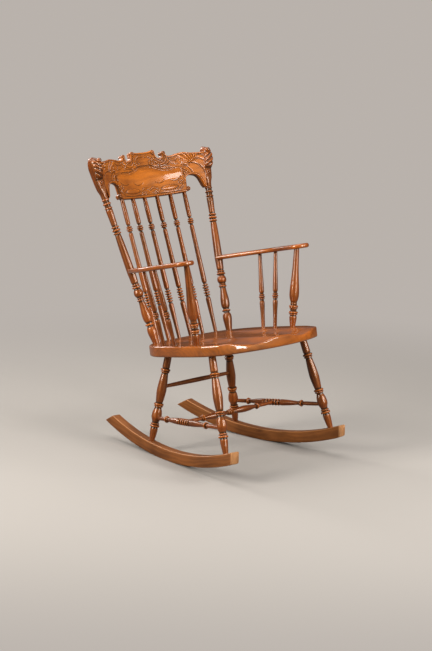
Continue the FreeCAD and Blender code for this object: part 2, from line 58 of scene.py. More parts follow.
def curveThrough(at, stations, tight=True):
    # Cubic Hermite curve through (place, value) stations. Tight slopes are the harmonic mean of
    # the two neighbouring rises, so the curve never overshoots; loose ones are their gradient.
    place, value = np.array(stations, float).T
    step = np.diff(place)
    rise = np.diff(value) / step
    if tight:
        before, after = rise[:-1], rise[1:]
        same = before * after > 0
        total = np.where(same, before + after, 1.0)
        slope = np.concatenate([rise[:1], np.where(same, 2 * before * after / total, 0.0), rise[-1:]])
    else:
        slope = np.gradient(value, place)
    index = np.clip(np.searchsorted(place, at) - 1, 0, len(step) - 1)
    t = np.clip((at - place[index]) / step[index], 0.0, 1.0)
    return ((1 + 2 * t) * (1 - t) ** 2 * value[index]
            + t * (1 - t) ** 2 * step[index] * slope[index]
            + t ** 2 * (3 - 2 * t) * value[index + 1]
            + t ** 2 * (t - 1) * step[index] * slope[index + 1])


def arcThrough(start, middle, end, count):
    # Points of the circle through three points, from the first up to but without the last
    a, b, c = (complex(*p) for p in (start, middle, end))
    ratio = (c - a) / (b - a)
    centre = a + (b - a) * (ratio - abs(ratio) ** 2) / (2j * ratio.imag)
    turn = np.angle((b - centre) / (a - centre)) % (2 * pi)
    whole = np.angle((c - centre) / (a - centre)) % (2 * pi)
    if turn > whole:
        whole -= 2 * pi
    found = centre + (a - centre) * np.exp(1j * whole * np.arange(count) / count)
    return np.stack([found.real, found.imag], axis=-1)


def flowLine(points, count=60):
    # A smooth open line through the points: each coordinate is a loose curve over the chord length
    points = np.array(points, float)
    reach = np.concatenate([[0.0], np.cumsum(np.linalg.norm(np.diff(points, axis=0), axis=1))])
    at = np.linspace(0.0, reach[-1], count)
    return np.stack([curveThrough(at, np.stack([reach, points[:, axis]], axis=-1), tight=False)
                     for axis in range(points.shape[1])], axis=-1)


def distanceTo(x, y, line):
    # Least distance from each place to the points of a line, worked out in bands to save memory
    flatX, flatY = x.ravel(), y.ravel()
    least = np.full(flatX.shape, 1e9)
    for band in np.array_split(line, max(1, len(line) // 40)):
        gap = (flatX[:, None] - band[:, 0]) ** 2 + (flatY[:, None] - band[:, 1]) ** 2
        least = np.minimum(least, gap.min(axis=1))
    return np.sqrt(least).reshape(x.shape)


def localMean(values, width):
    # Running mean along a row, with the ends held
    kernel = np.ones(width) / width
    padded = np.pad(values, width // 2, mode="edge")
    return np.convolve(padded, kernel, mode="valid")[:len(values)]


def tilt(points, degrees, height):
    # From the level plane on which a board is drawn to its sloping place: a turn about X and a lift
    lean = radians(degrees)
    x, y, z = points[..., 0], points[..., 1], points[..., 2]
    return np.stack([x, y * cos(lean) + z * sin(lean), height - y * sin(lean) + z * cos(lean)], axis=-1)


def mirror(points):
    # From the left half to the right: X changes its sign
    return points * np.array([-1.0, 1.0, 1.0])


# Meshes

def gridMesh(name, points, grain, hollow, around=True, sharp=38.0):
    # A grid of points as a closed skin: rows of quads, and a fan over the first and the last row.
    # Doubles are merged and the faces turned outwards. The two fields ride along as attributes.
    rows, columns = points.shape[:2]
    index = np.arange(rows * columns).reshape(rows, columns)
    if around:
        index = np.concatenate([index, index[:, :1]], axis=1)
    quads = np.stack([index[:-1, :-1], index[:-1, 1:], index[1:, 1:], index[1:, :-1]], axis=-1)
    ends = [rows * columns, rows * columns + 1]
    low = np.stack([index[0, 1:], index[0, :-1], np.full(index.shape[1] - 1, ends[0])], axis=-1)
    high = np.stack([index[-1, :-1], index[-1, 1:], np.full(index.shape[1] - 1, ends[1])], axis=-1)
    allPoints = np.concatenate([points.reshape(-1, 3), points[:1].mean(1), points[-1:].mean(1)])
    allGrain = np.concatenate([grain.reshape(-1, 3), grain[:1].mean(1), grain[-1:].mean(1)])
    allHollow = np.concatenate([hollow.ravel(), hollow[:1].mean(1), hollow[-1:].mean(1)])
    mesh = bpy.data.meshes.new(name)
    mesh.from_pydata((allPoints * mm).tolist(), [],
                     quads.reshape(-1, 4).tolist() + low.tolist() + high.tolist())
    mesh.attributes.new("grain", "FLOAT_VECTOR", "POINT").data.foreach_set("vector", allGrain.ravel())
    mesh.attributes.new("hollow", "FLOAT", "POINT").data.foreach_set("value", allHollow)
    shape = bmesh.new()
    shape.from_mesh(mesh)
    bmesh.ops.remove_doubles(shape, verts=shape.verts, dist=1e-6)
    bmesh.ops.dissolve_degenerate(shape, edges=shape.edges, dist=1e-7)
    bmesh.ops.recalc_face_normals(shape, faces=shape.faces)
    shape.to_mesh(mesh)
    shape.free()
    mesh.shade_smooth()
    mesh.set_sharp_from_angle(angle=radians(sharp))
    return mesh


def addPiece(name, mesh, node, material):
    # One object with its finish, which rides on the chair's body and takes the place of a solid
    piece = bpy.data.objects.new(name, mesh)
    bpy.context.scene.collection.objects.link(piece)
    mesh.materials.append(material)
    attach(piece, "root")
    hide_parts(node)
    return piece


def addPair(name, node, points, grain, hollow, slotName, material, **options):
    # The left piece and its mirror image, whose wood is cut from another place of the plank
    addPiece(name + "Left", gridMesh(name + "Left", points, grain, hollow, **options),
             node + "_left", material)
    addPiece(name + "Right", gridMesh(name + "Right", mirror(points), grain + 311.0, hollow, **options),
             node + "_right", material)


# Wood finishes. The grain runs along z of the grain attribute, in millimetres.

woods = {
    "turned": dict(dark=(0.022, 0.0035, 0.0004), middle=(0.165, 0.032, 0.0025), light=(0.44, 0.112, 0.007),
                   ring=6.0, figure=0.30, gloss=0.34, coat=0.5, coatRoughness=0.11, bump=0.06),
    "seat": dict(dark=(0.10, 0.021, 0.002), middle=(0.33, 0.080, 0.005), light=(0.52, 0.150, 0.010),
                 ring=11.0, figure=0.20, gloss=0.34, coat=0.8, coatRoughness=0.05, bump=0.04),
    "arm": dict(dark=(0.060, 0.011, 0.0012), middle=(0.25, 0.055, 0.004), light=(0.50, 0.135, 0.009),
                ring=9.0, figure=0.26, gloss=0.30, coat=0.65, coatRoughness=0.10, bump=0.05),
    "carved": dict(dark=(0.10, 0.020, 0.0015), middle=(0.47, 0.122, 0.005), light=(0.72, 0.230, 0.012),
                   ring=14.0, figure=0.13, gloss=0.34, coat=0.5, coatRoughness=0.13, bump=0.05),
    # The rocker's pale worn colour is wear on its edges and a painted highlight on its nose
    "rocker": dict(dark=(0.050, 0.013, 0.003), middle=(0.19, 0.060, 0.014), light=(0.33, 0.122, 0.032),
                   wearAndHighlight=(0.60, 0.32, 0.14), ring=9.0, figure=0.28, gloss=0.45, coat=0.15, coatRoughness=0.22,
                   bump=0.18),
}

# What the woods share: how each pattern is drawn out along the three axes, how much it counts in
# the tone, where the three colours stand on it, and how stain and painted shade, wear and painted
# highlight, sheen and lacquer behave
finish = {
    "fibres": (1.1, 1.1, 0.035), "pores": (2.6, 2.6, 0.11), "wander": (0.022, 0.022, 0.005),
    "patches": (0.012, 0.012, 0.007), "lacquer": (0.09, 0.09, 0.05),
    "ringShare": 0.42, "fibreShare": 0.75, "patchShare": 0.7, "toneShift": 0.16, "figureShift": 0.24,
    "wanderTurns": 26.0, "darkAt": 0.08, "middleAt": 0.42, "lightAt": 0.80,
    "stainAndShadeTone": 0.25, "stainInPores": 0.12, "stainAndShadeDulls": 0.35, "wearAndHighlightTone": 1.25, "wearAndHighlightEverywhere": 0.25,
    "fibreDulls": 0.25, "patchDulls": 0.15, "dullShift": 0.1,
    "sheen": 0.85, "sheenTint": (1.0, 0.46, 0.17), "coatIndex": 1.5,
    "poreDepth": 0.4, "lacquerDepth": 0.5, "lacquerStrength": 0.35,
}


def varnishedWood(name, look):
    # Growth rings and fine fibres give the tone, stain and painted shade darken where the surface is hollow,
    # raised edges are lighter by wear and painted highlight, and a clear coat lies over a softly uneven base.
    material = bpy.data.materials.new(name)
    material.use_nodes = True
    nodes, links = material.node_tree.nodes, material.node_tree.links
    nodes.clear()

    def node(kind, **settings):
        made = nodes.new(kind)
        for key, value in settings.items():
            setattr(made, key, value)
        return made

    def noise(stretch, detail, roughness=0.55):
        # Cloudy noise over the grain places, drawn out by a scale for each axis
        place = node("ShaderNodeMapping")
        place.inputs["Scale"].default_value = stretch
        links.new(grain, place.inputs["Vector"])
        made = node("ShaderNodeTexNoise")
        made.inputs["Scale"].default_value = 1.0
        made.inputs["Detail"].default_value = detail
        made.inputs["Roughness"].default_value = roughness
        links.new(place.outputs["Vector"], made.inputs["Vector"])
        return made.outputs["Fac"]

    def math(operation, first, second=None, clamp=False):
        made = node("ShaderNodeMath", operation=operation, use_clamp=clamp)
        for socket, value in zip(made.inputs, (first, second)):
            if value is None:
                continue
            if isinstance(value, (int, float)):
                socket.default_value = value
            else:
                links.new(value, socket)
        return made.outputs[0]

    def blended(share, first, second):
        # From the first colour, which is a socket, to the second, which is fixed
        made = node("ShaderNodeMix", data_type="RGBA")
        links.new(share, made.inputs["Factor"])
        links.new(first, made.inputs["A"])
        made.inputs["B"].default_value = (*second, 1.0)
        return made.outputs["Result"]

    def bumped(strength, depth, height):
        made = node("ShaderNodeBump")
        made.inputs["Strength"].default_value = strength
        made.inputs["Distance"].default_value = depth * mm
        links.new(height, made.inputs["Height"])
        return made.outputs["Normal"]

    grain = node("ShaderNodeAttribute", attribute_name="grain").outputs["Vector"]
    hollow = node("ShaderNodeAttribute", attribute_name="hollow").outputs["Fac"]
    fibre = noise(finish["fibres"], 5.0, 0.62)
    pores = noise(finish["pores"], 3.0, 0.7)
    wander = noise(finish["wander"], 2.0)
    patch = noise(finish["patches"], 3.0)
    split = node("ShaderNodeSeparateXYZ")
    links.new(grain, split.inputs[0])
    away = math("SQRT", math("ADD", math("POWER", split.outputs["X"], 2.0),
                             math("POWER", split.outputs["Y"], 2.0)))
    phase = math("ADD", math("MULTIPLY", away, 2 * pi / look["ring"]),
                 math("MULTIPLY", wander, finish["wanderTurns"]))
    rings = math("ADD", math("MULTIPLY", math("SINE", phase), 0.5), 0.5)
    tone = math("ADD", math("MULTIPLY", rings, finish["ringShare"] * look["figure"]),
                math("ADD", math("MULTIPLY", fibre, finish["fibreShare"] * look["figure"]),
                     math("MULTIPLY", patch, finish["patchShare"])))
    tone = math("SUBTRACT", tone, finish["toneShift"] + finish["figureShift"] * look["figure"])
    ramp = node("ShaderNodeValToRGB")
    ramp.color_ramp.elements[0].position = finish["darkAt"]
    ramp.color_ramp.elements[0].color = (*look["dark"], 1.0)
    ramp.color_ramp.elements[1].position = finish["lightAt"]
    ramp.color_ramp.elements[1].color = (*look["light"], 1.0)
    between = ramp.color_ramp.elements.new(finish["middleAt"])
    between.color = (*look["middle"], 1.0)
    links.new(tone, ramp.inputs["Fac"])
    # Stain and painted shade in the hollows, broken up by the pores
    stainAndShade = math("ADD", hollow, math("MULTIPLY", pores, finish["stainInPores"]), clamp=True)
    stainedAndShaded = blended(stainAndShade, ramp.outputs["Color"], finish["stainAndShadeTone"] * np.array(look["dark"]))
    # Wear and painted highlight on raised edges, where hollow is below zero
    wearAndHighlightShare = math("MULTIPLY", math("MULTIPLY", hollow, -1.0), math("ADD", patch, finish["wearAndHighlightEverywhere"]),
                  clamp=True)
    wearAndHighlight = blended(wearAndHighlightShare, stainedAndShaded, look.get("wearAndHighlight", finish["wearAndHighlightTone"] * np.array(look["light"])))
    shader = node("ShaderNodeBsdfPrincipled")
    links.new(wearAndHighlight, shader.inputs["Base Color"])
    dull = math("ADD", math("MULTIPLY", fibre, finish["fibreDulls"]),
                math("MULTIPLY", patch, finish["patchDulls"]))
    dull = math("ADD", dull, look["gloss"] - finish["dullShift"])
    links.new(math("ADD", dull, math("MULTIPLY", stainAndShade, finish["stainAndShadeDulls"])), shader.inputs["Roughness"])
    shader.inputs["Specular IOR Level"].default_value = finish["sheen"]
    shader.inputs["Specular Tint"].default_value = (*finish["sheenTint"], 1.0)
    shader.inputs["Coat Weight"].default_value = look["coat"]
    shader.inputs["Coat Roughness"].default_value = look["coatRoughness"]
    shader.inputs["Coat IOR"].default_value = finish["coatIndex"]
    wood = bumped(look["bump"], finish["poreDepth"], math("ADD", pores, math("MULTIPLY", fibre, 0.6)))
    links.new(wood, shader.inputs["Normal"])
    lacquer = bumped(finish["lacquerStrength"], finish["lacquerDepth"], noise(finish["lacquer"], 2.0))
    links.new(lacquer, shader.inputs["Coat Normal"])
    output = node("ShaderNodeOutputMaterial")
    links.new(shader.outputs["BSDF"], output.inputs["Surface"])
    return material


materials = {name: varnishedWood(name + "Wood", look) for name, look in woods.items()}
print("finishes made")


# Places shared by the pieces, in millimetres

chair = {
    "seatHeight": 385.0, "seatSlope": 10.3, "seatThickness": 36.0,
    "armHeight": 647.5, "armSlope": 13.3, "armThickness": 15.0,
    "backRake": 21.4, "backSet": -0.5, "backRadius": 645.0, "backLength": 1037.0,
    "crestHeight": 161.0, "crestThickness": 19.0,
    "postFootX": 168.0, "postSet": -42.5, "postSplay": 7.65,
    "rockerSpacing": 412.0, "rockerToe": 6.8, "frontRadius": 1000.0, "rearRadius": 1022.0,
    "rockerDepth": 38.0, "rockerThickness": 30.0,
}


def onSlope(x, y, height, slope, below):
    # On a plane that falls backwards from its height at the origin, or square below that plane
    angle = radians(slope)
    return np.array([x, y, height - y * tan(angle) - below / cos(angle)])


def seatPoint(x, y, below=0.0):
    # On the flat of the seat
    return onSlope(x, y, chair["seatHeight"], chair["seatSlope"], below)


def armPoint(x, y, below=0.0):
    # On the middle plane of the arms
    return onSlope(x, y, chair["armHeight"], chair["armSlope"], below)


def backPoint(x, out, up):
    # Across, out of the raked plane and up it, for numbers or whole arrays
    lean = radians(chair["backRake"])
    x, out, up = np.broadcast_arrays(x, out, up)
    return np.stack([x, out * cos(lean) + up * sin(lean), up * cos(lean) - out * sin(lean)], axis=-1)


def backSeatLevel(out):
    # How far up the raked plane the seat's flat is met, for a place out of that plane
    lean = radians(chair["backRake"])
    fall = tan(radians(chair["seatSlope"]))
    return (chair["seatHeight"] + out * (sin(lean) - cos(lean) * fall)) / (cos(lean) + sin(lean) * fall)


def bowOut(x, inwards=0.0):
    # How far out of the raked plane the bent back lies, on an arc hollow towards the sitter
    return chair["backSet"] - chair["backRadius"] + np.sqrt((chair["backRadius"] - inwards) ** 2 - x ** 2)


def postAxis(up):
    # The axis of the left post, which leaves the seat and splays by a fixed share of its rise
    rise = up - backSeatLevel(chair["postSet"])
    x = chair["postFootX"] + rise * tan(radians(chair["postSplay"]))
    return backPoint(x, chair["postSet"], up)


def rockerLow(reach):
    # Two arcs that meet at the floor
    radius = np.where(reach < 0, chair["frontRadius"], chair["rearRadius"])
    return radius - np.sqrt(radius ** 2 - reach ** 2)


def rockerHigh(reach):
    # The same two arcs with radii shorter by the rocker's depth
    radius = np.where(reach < 0, chair["frontRadius"], chair["rearRadius"])
    return radius - np.sqrt((radius - chair["rockerDepth"]) ** 2 - reach ** 2)


def rockerPlace(reach, aside, height):
    # Along the left rocker from its floor contact, aside from its middle plane, and up
    toe = radians(chair["rockerToe"])
    x = chair["rockerSpacing"] / 2 - reach * sin(toe) + aside * cos(toe)
    y = reach * cos(toe) + aside * sin(toe)
    return np.stack(np.broadcast_arrays(x, y, height), axis=-1)


# Turned pieces

# How every turned piece is drawn, in millimetres: the spacing of its plain stations, the most that a
# bead stands out, and the length over which a dip is judged. A dip is darkened from a given depth on
# with stain and painted shade, and what stands out is lightened over a given rise by a share, as wear and
# painted highlight.
lathe = {"step": 2.2, "beadRows": 13, "beadRise": 4.0, "judgedOver": 14.0, "judgedPlaces": 600,
         "stainAndShadeFrom": 0.1, "wearAndHighlightOver": 2.5, "wearAndHighlight": 0.35, "tenonStain": 0.6}


def turnedRadius(shares, length, pattern):
    # The slender body is a curve through its stations. Each bead stands out of it as a half round
    # of its width, with its top at the given radius.
    radius = curveThrough(shares, pattern["body"])
    for middle, width, top in pattern["beads"]:
        reach = np.clip(np.abs(shares - middle) * length / (width / 2), 0.0, 1.0)
        rise = min(width / 2, lathe["beadRise"])
        ring = top - rise * (1.0 - np.sqrt(1.0 - reach ** 2))
        radius = np.where(reach < 1.0, np.maximum(radius, ring), radius)
    return radius


def turned(foot, head, pattern, footTenon=0.0, headTenon=0.0, sides=44):
    # A profile carried round the axis: the ring of each station is its radius times a circle. The
    # grain is shifted by the place of the foot, so that no two pieces show the same wood.
    length = np.linalg.norm(head - foot)
    along = unit(head - foot)
    steady = [0.0, 0.0, 1.0] if abs(along[2]) < 0.9 else [0.0, 1.0, 0.0]
    aside = unit(np.cross(along, np.array(steady)))
    across = np.cross(along, aside)
    shares = [np.linspace(0.0, 1.0, int(length / lathe["step"]))]
    swing = np.sin(np.linspace(-pi / 2, pi / 2, lathe["beadRows"]))
    for middle, width, top in pattern["beads"]:
        shares.append(middle + swing * (width / 2) / length)
        shares.append(middle + np.array([-1.02, 1.02]) * (width / 2) / length)
    shares = np.unique(np.round(np.clip(np.concatenate(shares), 0.0, 1.0), 6))
    radius = turnedRadius(shares, length, pattern)
    even = np.linspace(0.0, 1.0, lathe["judgedPlaces"])
    evenRadius = turnedRadius(even, length, pattern)
    nearby = localMean(evenRadius, max(3, int(lathe["judgedOver"] / length * lathe["judgedPlaces"]) | 1))
    # Dips are darkened with stain and painted shade, and what stands out is lightened as wear and painted
    # highlight
    dip = np.interp(shares, even, nearby) - radius
    hollow = (np.clip(dip - lathe["stainAndShadeFrom"], 0.0, 1.0)
              + np.clip(dip / lathe["wearAndHighlightOver"], -1.0, 0.0) * lathe["wearAndHighlight"])
    heights = np.concatenate([[-footTenon], shares * length, [length + headTenon]])
    radius = np.concatenate([radius[:1], radius, radius[-1:]])
    hollow = np.concatenate([[lathe["tenonStain"]], hollow, [lathe["tenonStain"]]])
    turn = np.linspace(0.0, 2 * pi, sides, endpoint=False)
    ringX, ringY = np.outer(radius, np.cos(turn)), np.outer(radius, np.sin(turn))
    level = np.broadcast_to(heights[:, None], ringX.shape)
    points = foot + ringX[..., None] * aside + ringY[..., None] * across + level[..., None] * along
    grain = np.stack([ringX + 31.0 + foot[0] * 0.7, ringY + 17.0 + foot[1] * 0.3, level + foot[2]], axis=-1)
    return points, grain, np.broadcast_to(hollow[:, None], ringX.shape).copy()


def addTurned(name, node, ends, pattern, tenons, sides=44):
    # A turned piece in the middle of the chair, or one of a row
    addPiece(name, gridMesh(name, *turned(*ends, pattern, *tenons, sides)),
             node, materials["turned"])


def addTurnedPair(name, node, ends, pattern, tenons, sides=44):
    # A turned piece on the left and its mirror image
    addPair(name, node, *turned(*ends, pattern, *tenons, sides), "turned_wood", materials["turned"])


# A body is stations of (share of the length, radius), and a bead is (share of the length, width,
# radius of its top), in millimetres after the share

legPattern = {
    "body": [(0.0, 8.8), (0.14, 12.6), (0.155, 11.0), (0.21, 10.8), (0.232, 12.6), (0.278, 16.9),
             (0.33, 15.6), (0.376, 11.4), (0.386, 10.8), (0.43, 10.8), (0.445, 12.0), (0.51, 14.4),
             (0.575, 15.9), (0.66, 14.6), (0.755, 11.6), (0.772, 10.8), (0.826, 10.8), (0.842, 12.6),
             (1.0, 11.8)],
    "beads": [(0.172, 7.6, 16.2), (0.198, 5.0, 14.2), (0.396, 5.0, 14.8), (0.418, 7.6, 16.4),
              (0.786, 5.0, 14.4), (0.810, 8.0, 16.2)],
}

postPattern = {
    "body": [(0.0, 10.2), (0.045, 13.4), (0.085, 15.4), (0.108, 13.8), (0.122, 10.0), (0.146, 10.0),
             (0.160, 13.4), (0.180, 15.0), (0.205, 14.8), (0.245, 12.4), (0.280, 10.2), (0.294, 9.6),
             (0.320, 9.8), (0.333, 14.2), (0.348, 15.8), (0.364, 14.2), (0.380, 10.0), (0.412, 10.0),
             (0.424, 12.0), (0.46, 12.6), (0.491, 13.5), (0.56, 13.2), (0.629, 12.6), (0.745, 10.2),
             (0.755, 9.0), (0.808, 9.0), (0.82, 10.2), (0.86, 10.8), (0.918, 11.8), (0.925, 10.4),
             (1.0, 10.6)],
    "beads": [(0.134, 6.5, 14.6), (0.302, 5.4, 13.4), (0.315, 3.8, 12.0), (0.389, 6.4, 15.0),
              (0.405, 4.6, 13.4), (0.760, 5.4, 13.4), (0.781, 8.0, 14.0), (0.802, 5.4, 13.4),
              (0.932, 5.0, 13.2), (0.962, 7.0, 13.6), (0.990, 5.4, 13.0)],
}

spindlePattern = {
    "body": [(0.0, 6.0), (0.10, 6.8), (0.236, 8.6), (0.250, 5.8), (0.346, 5.8), (0.360, 8.6),
             (0.50, 8.2), (0.70, 7.2), (0.758, 7.2), (0.766, 5.2), (0.822, 5.2), (0.830, 7.4),
             (0.90, 7.8), (1.0, 6.8)],
    "beads": [(0.262, 4.8, 9.8), (0.280, 5.6, 11.0), (0.298, 4.8, 10.0), (0.316, 5.6, 11.0),
              (0.334, 4.8, 9.8), (0.781, 4.4, 9.6), (0.794, 6.0, 11.0), (0.807, 4.4, 9.6)],
}

armPostPattern = {
    "body": [(0.0, 8.6), (0.13, 12.4), (0.145, 10.0), (0.205, 10.0), (0.222, 11.4), (0.232, 10.2),
             (0.275, 10.0), (0.292, 11.0), (0.312, 10.4), (0.345, 13.4), (0.41, 16.1), (0.48, 15.7),
             (0.60, 13.2), (0.75, 10.6), (0.88, 9.4), (1.0, 8.6)],
    "beads": [(0.160, 5.0, 14.0), (0.184, 7.0, 15.6), (0.242, 5.0, 14.4), (0.264, 6.0, 15.4)],
}

armSpindlePattern = {
    "body": [(0.0, 6.2), (0.18, 7.0), (0.335, 8.6), (0.372, 6.0), (0.452, 6.0), (0.49, 8.6),
             (0.62, 8.0), (0.82, 6.6), (1.0, 6.0)],
    "beads": [(0.385, 4.8, 9.2), (0.412, 7.0, 10.4), (0.439, 4.8, 9.2)],
}

sideStretcherPattern = {
    "body": [(0.0, 6.0), (0.10, 6.8), (0.135, 6.0), (0.17, 6.2), (0.26, 9.4), (0.345, 10.8),
             (0.358, 7.4), (0.534, 7.4), (0.547, 10.8), (0.63, 9.6), (0.765, 6.2), (0.80, 6.0),
             (0.86, 6.8), (1.0, 6.0)],
    "beads": [(0.146, 5.4, 11.4), (0.163, 3.4, 9.2), (0.376, 7.4, 11.4), (0.411, 7.4, 11.5),
              (0.446, 7.4, 11.5), (0.481, 7.4, 11.5), (0.516, 7.4, 11.4), (0.771, 3.4, 9.2),
              (0.788, 5.4, 11.4)],
}

centreStretcherPattern = {
    "body": [(0.0, 6.0), (0.10, 6.6), (0.16, 5.8), (0.20, 6.0), (0.27, 9.2), (0.34, 11.0),
             (0.40, 9.6), (0.46, 6.4), (0.54, 6.4), (0.60, 9.6), (0.66, 11.0), (0.73, 9.2),
             (0.80, 6.0), (0.84, 5.8), (0.90, 6.6), (1.0, 6.0)],
    "beads": [(0.168, 3.6, 8.8), (0.184, 5.6, 11.0), (0.472, 4.0, 9.0), (0.490, 5.4, 10.2),
              (0.510, 5.4, 10.2), (0.528, 4.0, 9.0), (0.816, 5.6, 11.0), (0.832, 3.6, 8.8)],
}

rearStretcherPattern = {
    "body": [(0.0, 5.9), (0.25, 7.3), (0.5, 7.9), (0.75, 7.3), (1.0, 5.9)],
    "beads": [],
}


# Where the pieces stand: a leg by its reach along the rocker and its head under the seat, a
# stretcher by its share of the leg or stretcher that holds it, and by how far short of that
# one's axis its shoulders stop
undercarriage = {"frontLeg": dict(reach=-317.0, headX=208.0, headY=-209.0),
                 "rearLeg": dict(reach=88.0, headX=136.0, headY=72.0),
                 "sideLevel": 0.262, "rearLevel": 0.615, "legInset": 13.8,
                 "centrePlace": 0.45, "sideInset": 8.5}

backSpindles = {"count": 6, "footPitch": 52.6, "headPitch": 56.8}

armSupports = {
    "armPost": dict(node="arm_post", foot=(221.0, -151.0), head=(252.0, -132.0),
                    pattern=armPostPattern, sides=44),
    "rearArmSpindle": dict(node="rear_arm_spindle", foot=(229.0, -6.0), head=(265.0, 53.0),
                           pattern=armSpindlePattern, sides=32),
    "frontArmSpindle": dict(node="front_arm_spindle", foot=(231.0, -60.0), head=(277.0, -10.0),
                            pattern=armSpindlePattern, sides=32),
}


def legEnds(reach, headX, headY):
    # From the top of the rocker to the underside of the seat
    foot = rockerPlace(reach, 0.0, float(rockerHigh(np.float64(reach))))
    return foot, seatPoint(headX, headY, chair["seatThickness"])


def between(ends, share):
    # A share of the way from one end to the other
    return ends[0] + (ends[1] - ends[0]) * share


def shortened(start, end, inset):
    # Both ends drawn in along the line between them
    along = unit(end - start)
    return start + along * inset, end - along * inset


frontLeg = legEnds(**undercarriage["frontLeg"])
rearLeg = legEnds(**undercarriage["rearLeg"])
addTurnedPair("frontLeg", "front_leg", frontLeg, legPattern, (8.0, 8.0))
addTurnedPair("rearLeg", "rear_leg", rearLeg, legPattern, (8.0, 8.0))

sideRear = between(rearLeg, undercarriage["sideLevel"])
sideFront = between(frontLeg, undercarriage["sideLevel"])
sideEnds = shortened(sideRear, sideFront, undercarriage["legInset"])
addTurnedPair("sideStretcher", "side_stretcher", sideEnds, sideStretcherPattern, (4.0, 4.0))

centreLeft = between(sideEnds, undercarriage["centrePlace"])
centreEnds = shortened(mirror(centreLeft), centreLeft, undercarriage["sideInset"])
addTurned("centreStretcher", "centre_stretcher", centreEnds, centreStretcherPattern, (3.0, 3.0))

rearLeft = between(rearLeg, undercarriage["rearLevel"])
rearEnds = shortened(mirror(rearLeft), rearLeft, undercarriage["legInset"])
addTurned("rearStretcher", "rear_stretcher", rearEnds, rearStretcherPattern, (4.0, 4.0))

for number in range(1, backSpindles["count"] + 1):
    step = number - (backSpindles["count"] + 1) / 2
    footX, headX = step * backSpindles["footPitch"], step * backSpindles["headPitch"]
    footOut = float(bowOut(footX))
    spindleFoot = backPoint(footX, footOut, backSeatLevel(footOut))
    spindleHead = backPoint(headX, float(bowOut(headX)), chair["backLength"] - chair["crestHeight"])
    addTurned("backSpindle%d" % number, "back_spindle_%d" % number, (spindleFoot, spindleHead),
              spindlePattern, (8.0, 8.0), sides=32)

for name, support in armSupports.items():
    supportEnds = seatPoint(*support["foot"]), armPoint(*support["head"], below=chair["armThickness"] / 2)
    addTurnedPair(name, support["node"], supportEnds, support["pattern"], (8.0, 5.0), support["sides"])
print("turned pieces made")


# Boards with a rounded rim

def boardSkin(rim, spine, top, bottom, round, innerRows, roundRows=7, underRows=6):
    # Columns go round the rim. Rows run from the spine out over the top, round the edge as two
    # quarter circles whose centres are inset by the rounding, and back under to the spine.
    ahead = np.roll(rim, -1, axis=0) - np.roll(rim, 1, axis=0)
    normal = np.stack([ahead[:, 1], -ahead[:, 0]], axis=-1) / np.linalg.norm(ahead, axis=1)[:, None]
    area = np.sum(rim[:, 0] * np.roll(rim[:, 1], -1) - np.roll(rim[:, 0], -1) * rim[:, 1])
    normal = normal * np.sign(area)
    inset = rim - normal * round
    places, drops = [], []
    for share in np.sin(np.linspace(0.0, pi / 2, innerRows)):
        places.append(spine + (inset - spine) * share)
        drops.append(0.0)
    for angle in np.linspace(0.0, pi / 2, roundRows)[1:]:
        places.append(inset + normal * round * sin(angle))
        drops.append(round * (1.0 - cos(angle)))
    upper = len(places)
    for angle in np.linspace(pi / 2, 0.0, roundRows):
        places.append(inset + normal * round * sin(angle))
        drops.append(round * (1.0 - cos(angle)))
    for share in np.linspace(1.0, 0.0, underRows)[1:]:
        places.append(spine + (inset - spine) * share)
        drops.append(0.0)
    places, drops = np.array(places), np.array(drops)[:, None]
    level = top(places[..., 0], places[..., 1]) - drops
    level[upper:] = bottom + drops[upper:]
    return np.concatenate([places, level[..., None]], axis=-1)


seatShape = {"half": 247.0, "front": -322.0, "back": 158.0, "cornerX": 223.0, "frontBow": 60.0,
             "clip": 68.0, "hipIn": 9.0, "hipY": 23.6, "sideBow": 1.0, "turnX": 0.845, "turnY": 67.2,
             "tailX": 144.5, "backBow": 16.0, "rounding": 6.0,
             "hollow": 13.0, "hollowX": 114.0, "hollowRadius": 250.0, "hollowLength": 350.0, "lip": 2.6,
             "spineX": 150.0, "spineY": 100.0, "spineMiddle": 82.0, "spineShare": 0.3, "rows": 64,
             "clipPlaces": 14, "sidePlaces": 44, "turnPlaces": 34, "backPlaces": 56, "frontPlaces": 110,
             "paintedUnderShade": 0.25, "underFade": 30.0}


def seatRim():
    # Anticlockwise from the left front corner: the clipped corner, the bowed side, the turn in to
    # the tail, the bowed back, the same mirrored, and the bowed front edge
    s = seatShape
    corner = (s["cornerX"], s["front"] + s["frontBow"])
    shoulder = (s["half"], corner[1] + sqrt(s["clip"] ** 2 - (s["half"] - corner[0]) ** 2))
    hip = (s["half"] - s["hipIn"], s["hipY"])
    tail = (s["tailX"], s["back"] - s["backBow"])
    bulge = (s["half"] + s["sideBow"], (shoulder[1] + hip[1]) / 2)
    clip = np.linspace(corner, shoulder, s["clipPlaces"], endpoint=False)
    side = arcThrough(shoulder, bulge, hip, s["sidePlaces"])
    turnIn = arcThrough(hip, (s["half"] * s["turnX"], s["back"] - s["turnY"]), tail, s["turnPlaces"])
    rear = arcThrough(tail, (0.0, s["back"]), (-tail[0], tail[1]), s["backPlaces"])
    front = arcThrough((-corner[0], corner[1]), (0.0, s["front"]), corner, s["frontPlaces"])
    left = np.concatenate([clip, side, turnIn])
    right = np.concatenate([[tail], turnIn[:0:-1], [hip], side[:0:-1], [shoulder], clip[:0:-1]])
    return np.concatenate([left, rear, right * np.array([-1.0, 1.0]), front])


def seatSpine(rim):
    # Each column ends on a short level line in the middle, at a share of its own distance from it
    s = seatShape
    x = np.clip(rim[:, 0], -s["spineX"], s["spineX"]) * s["spineShare"]
    y = np.clip(rim[:, 1] + s["spineMiddle"], -s["spineY"], s["spineY"]) * s["spineShare"] - s["spineMiddle"]
    return np.stack([x, y], axis=-1)


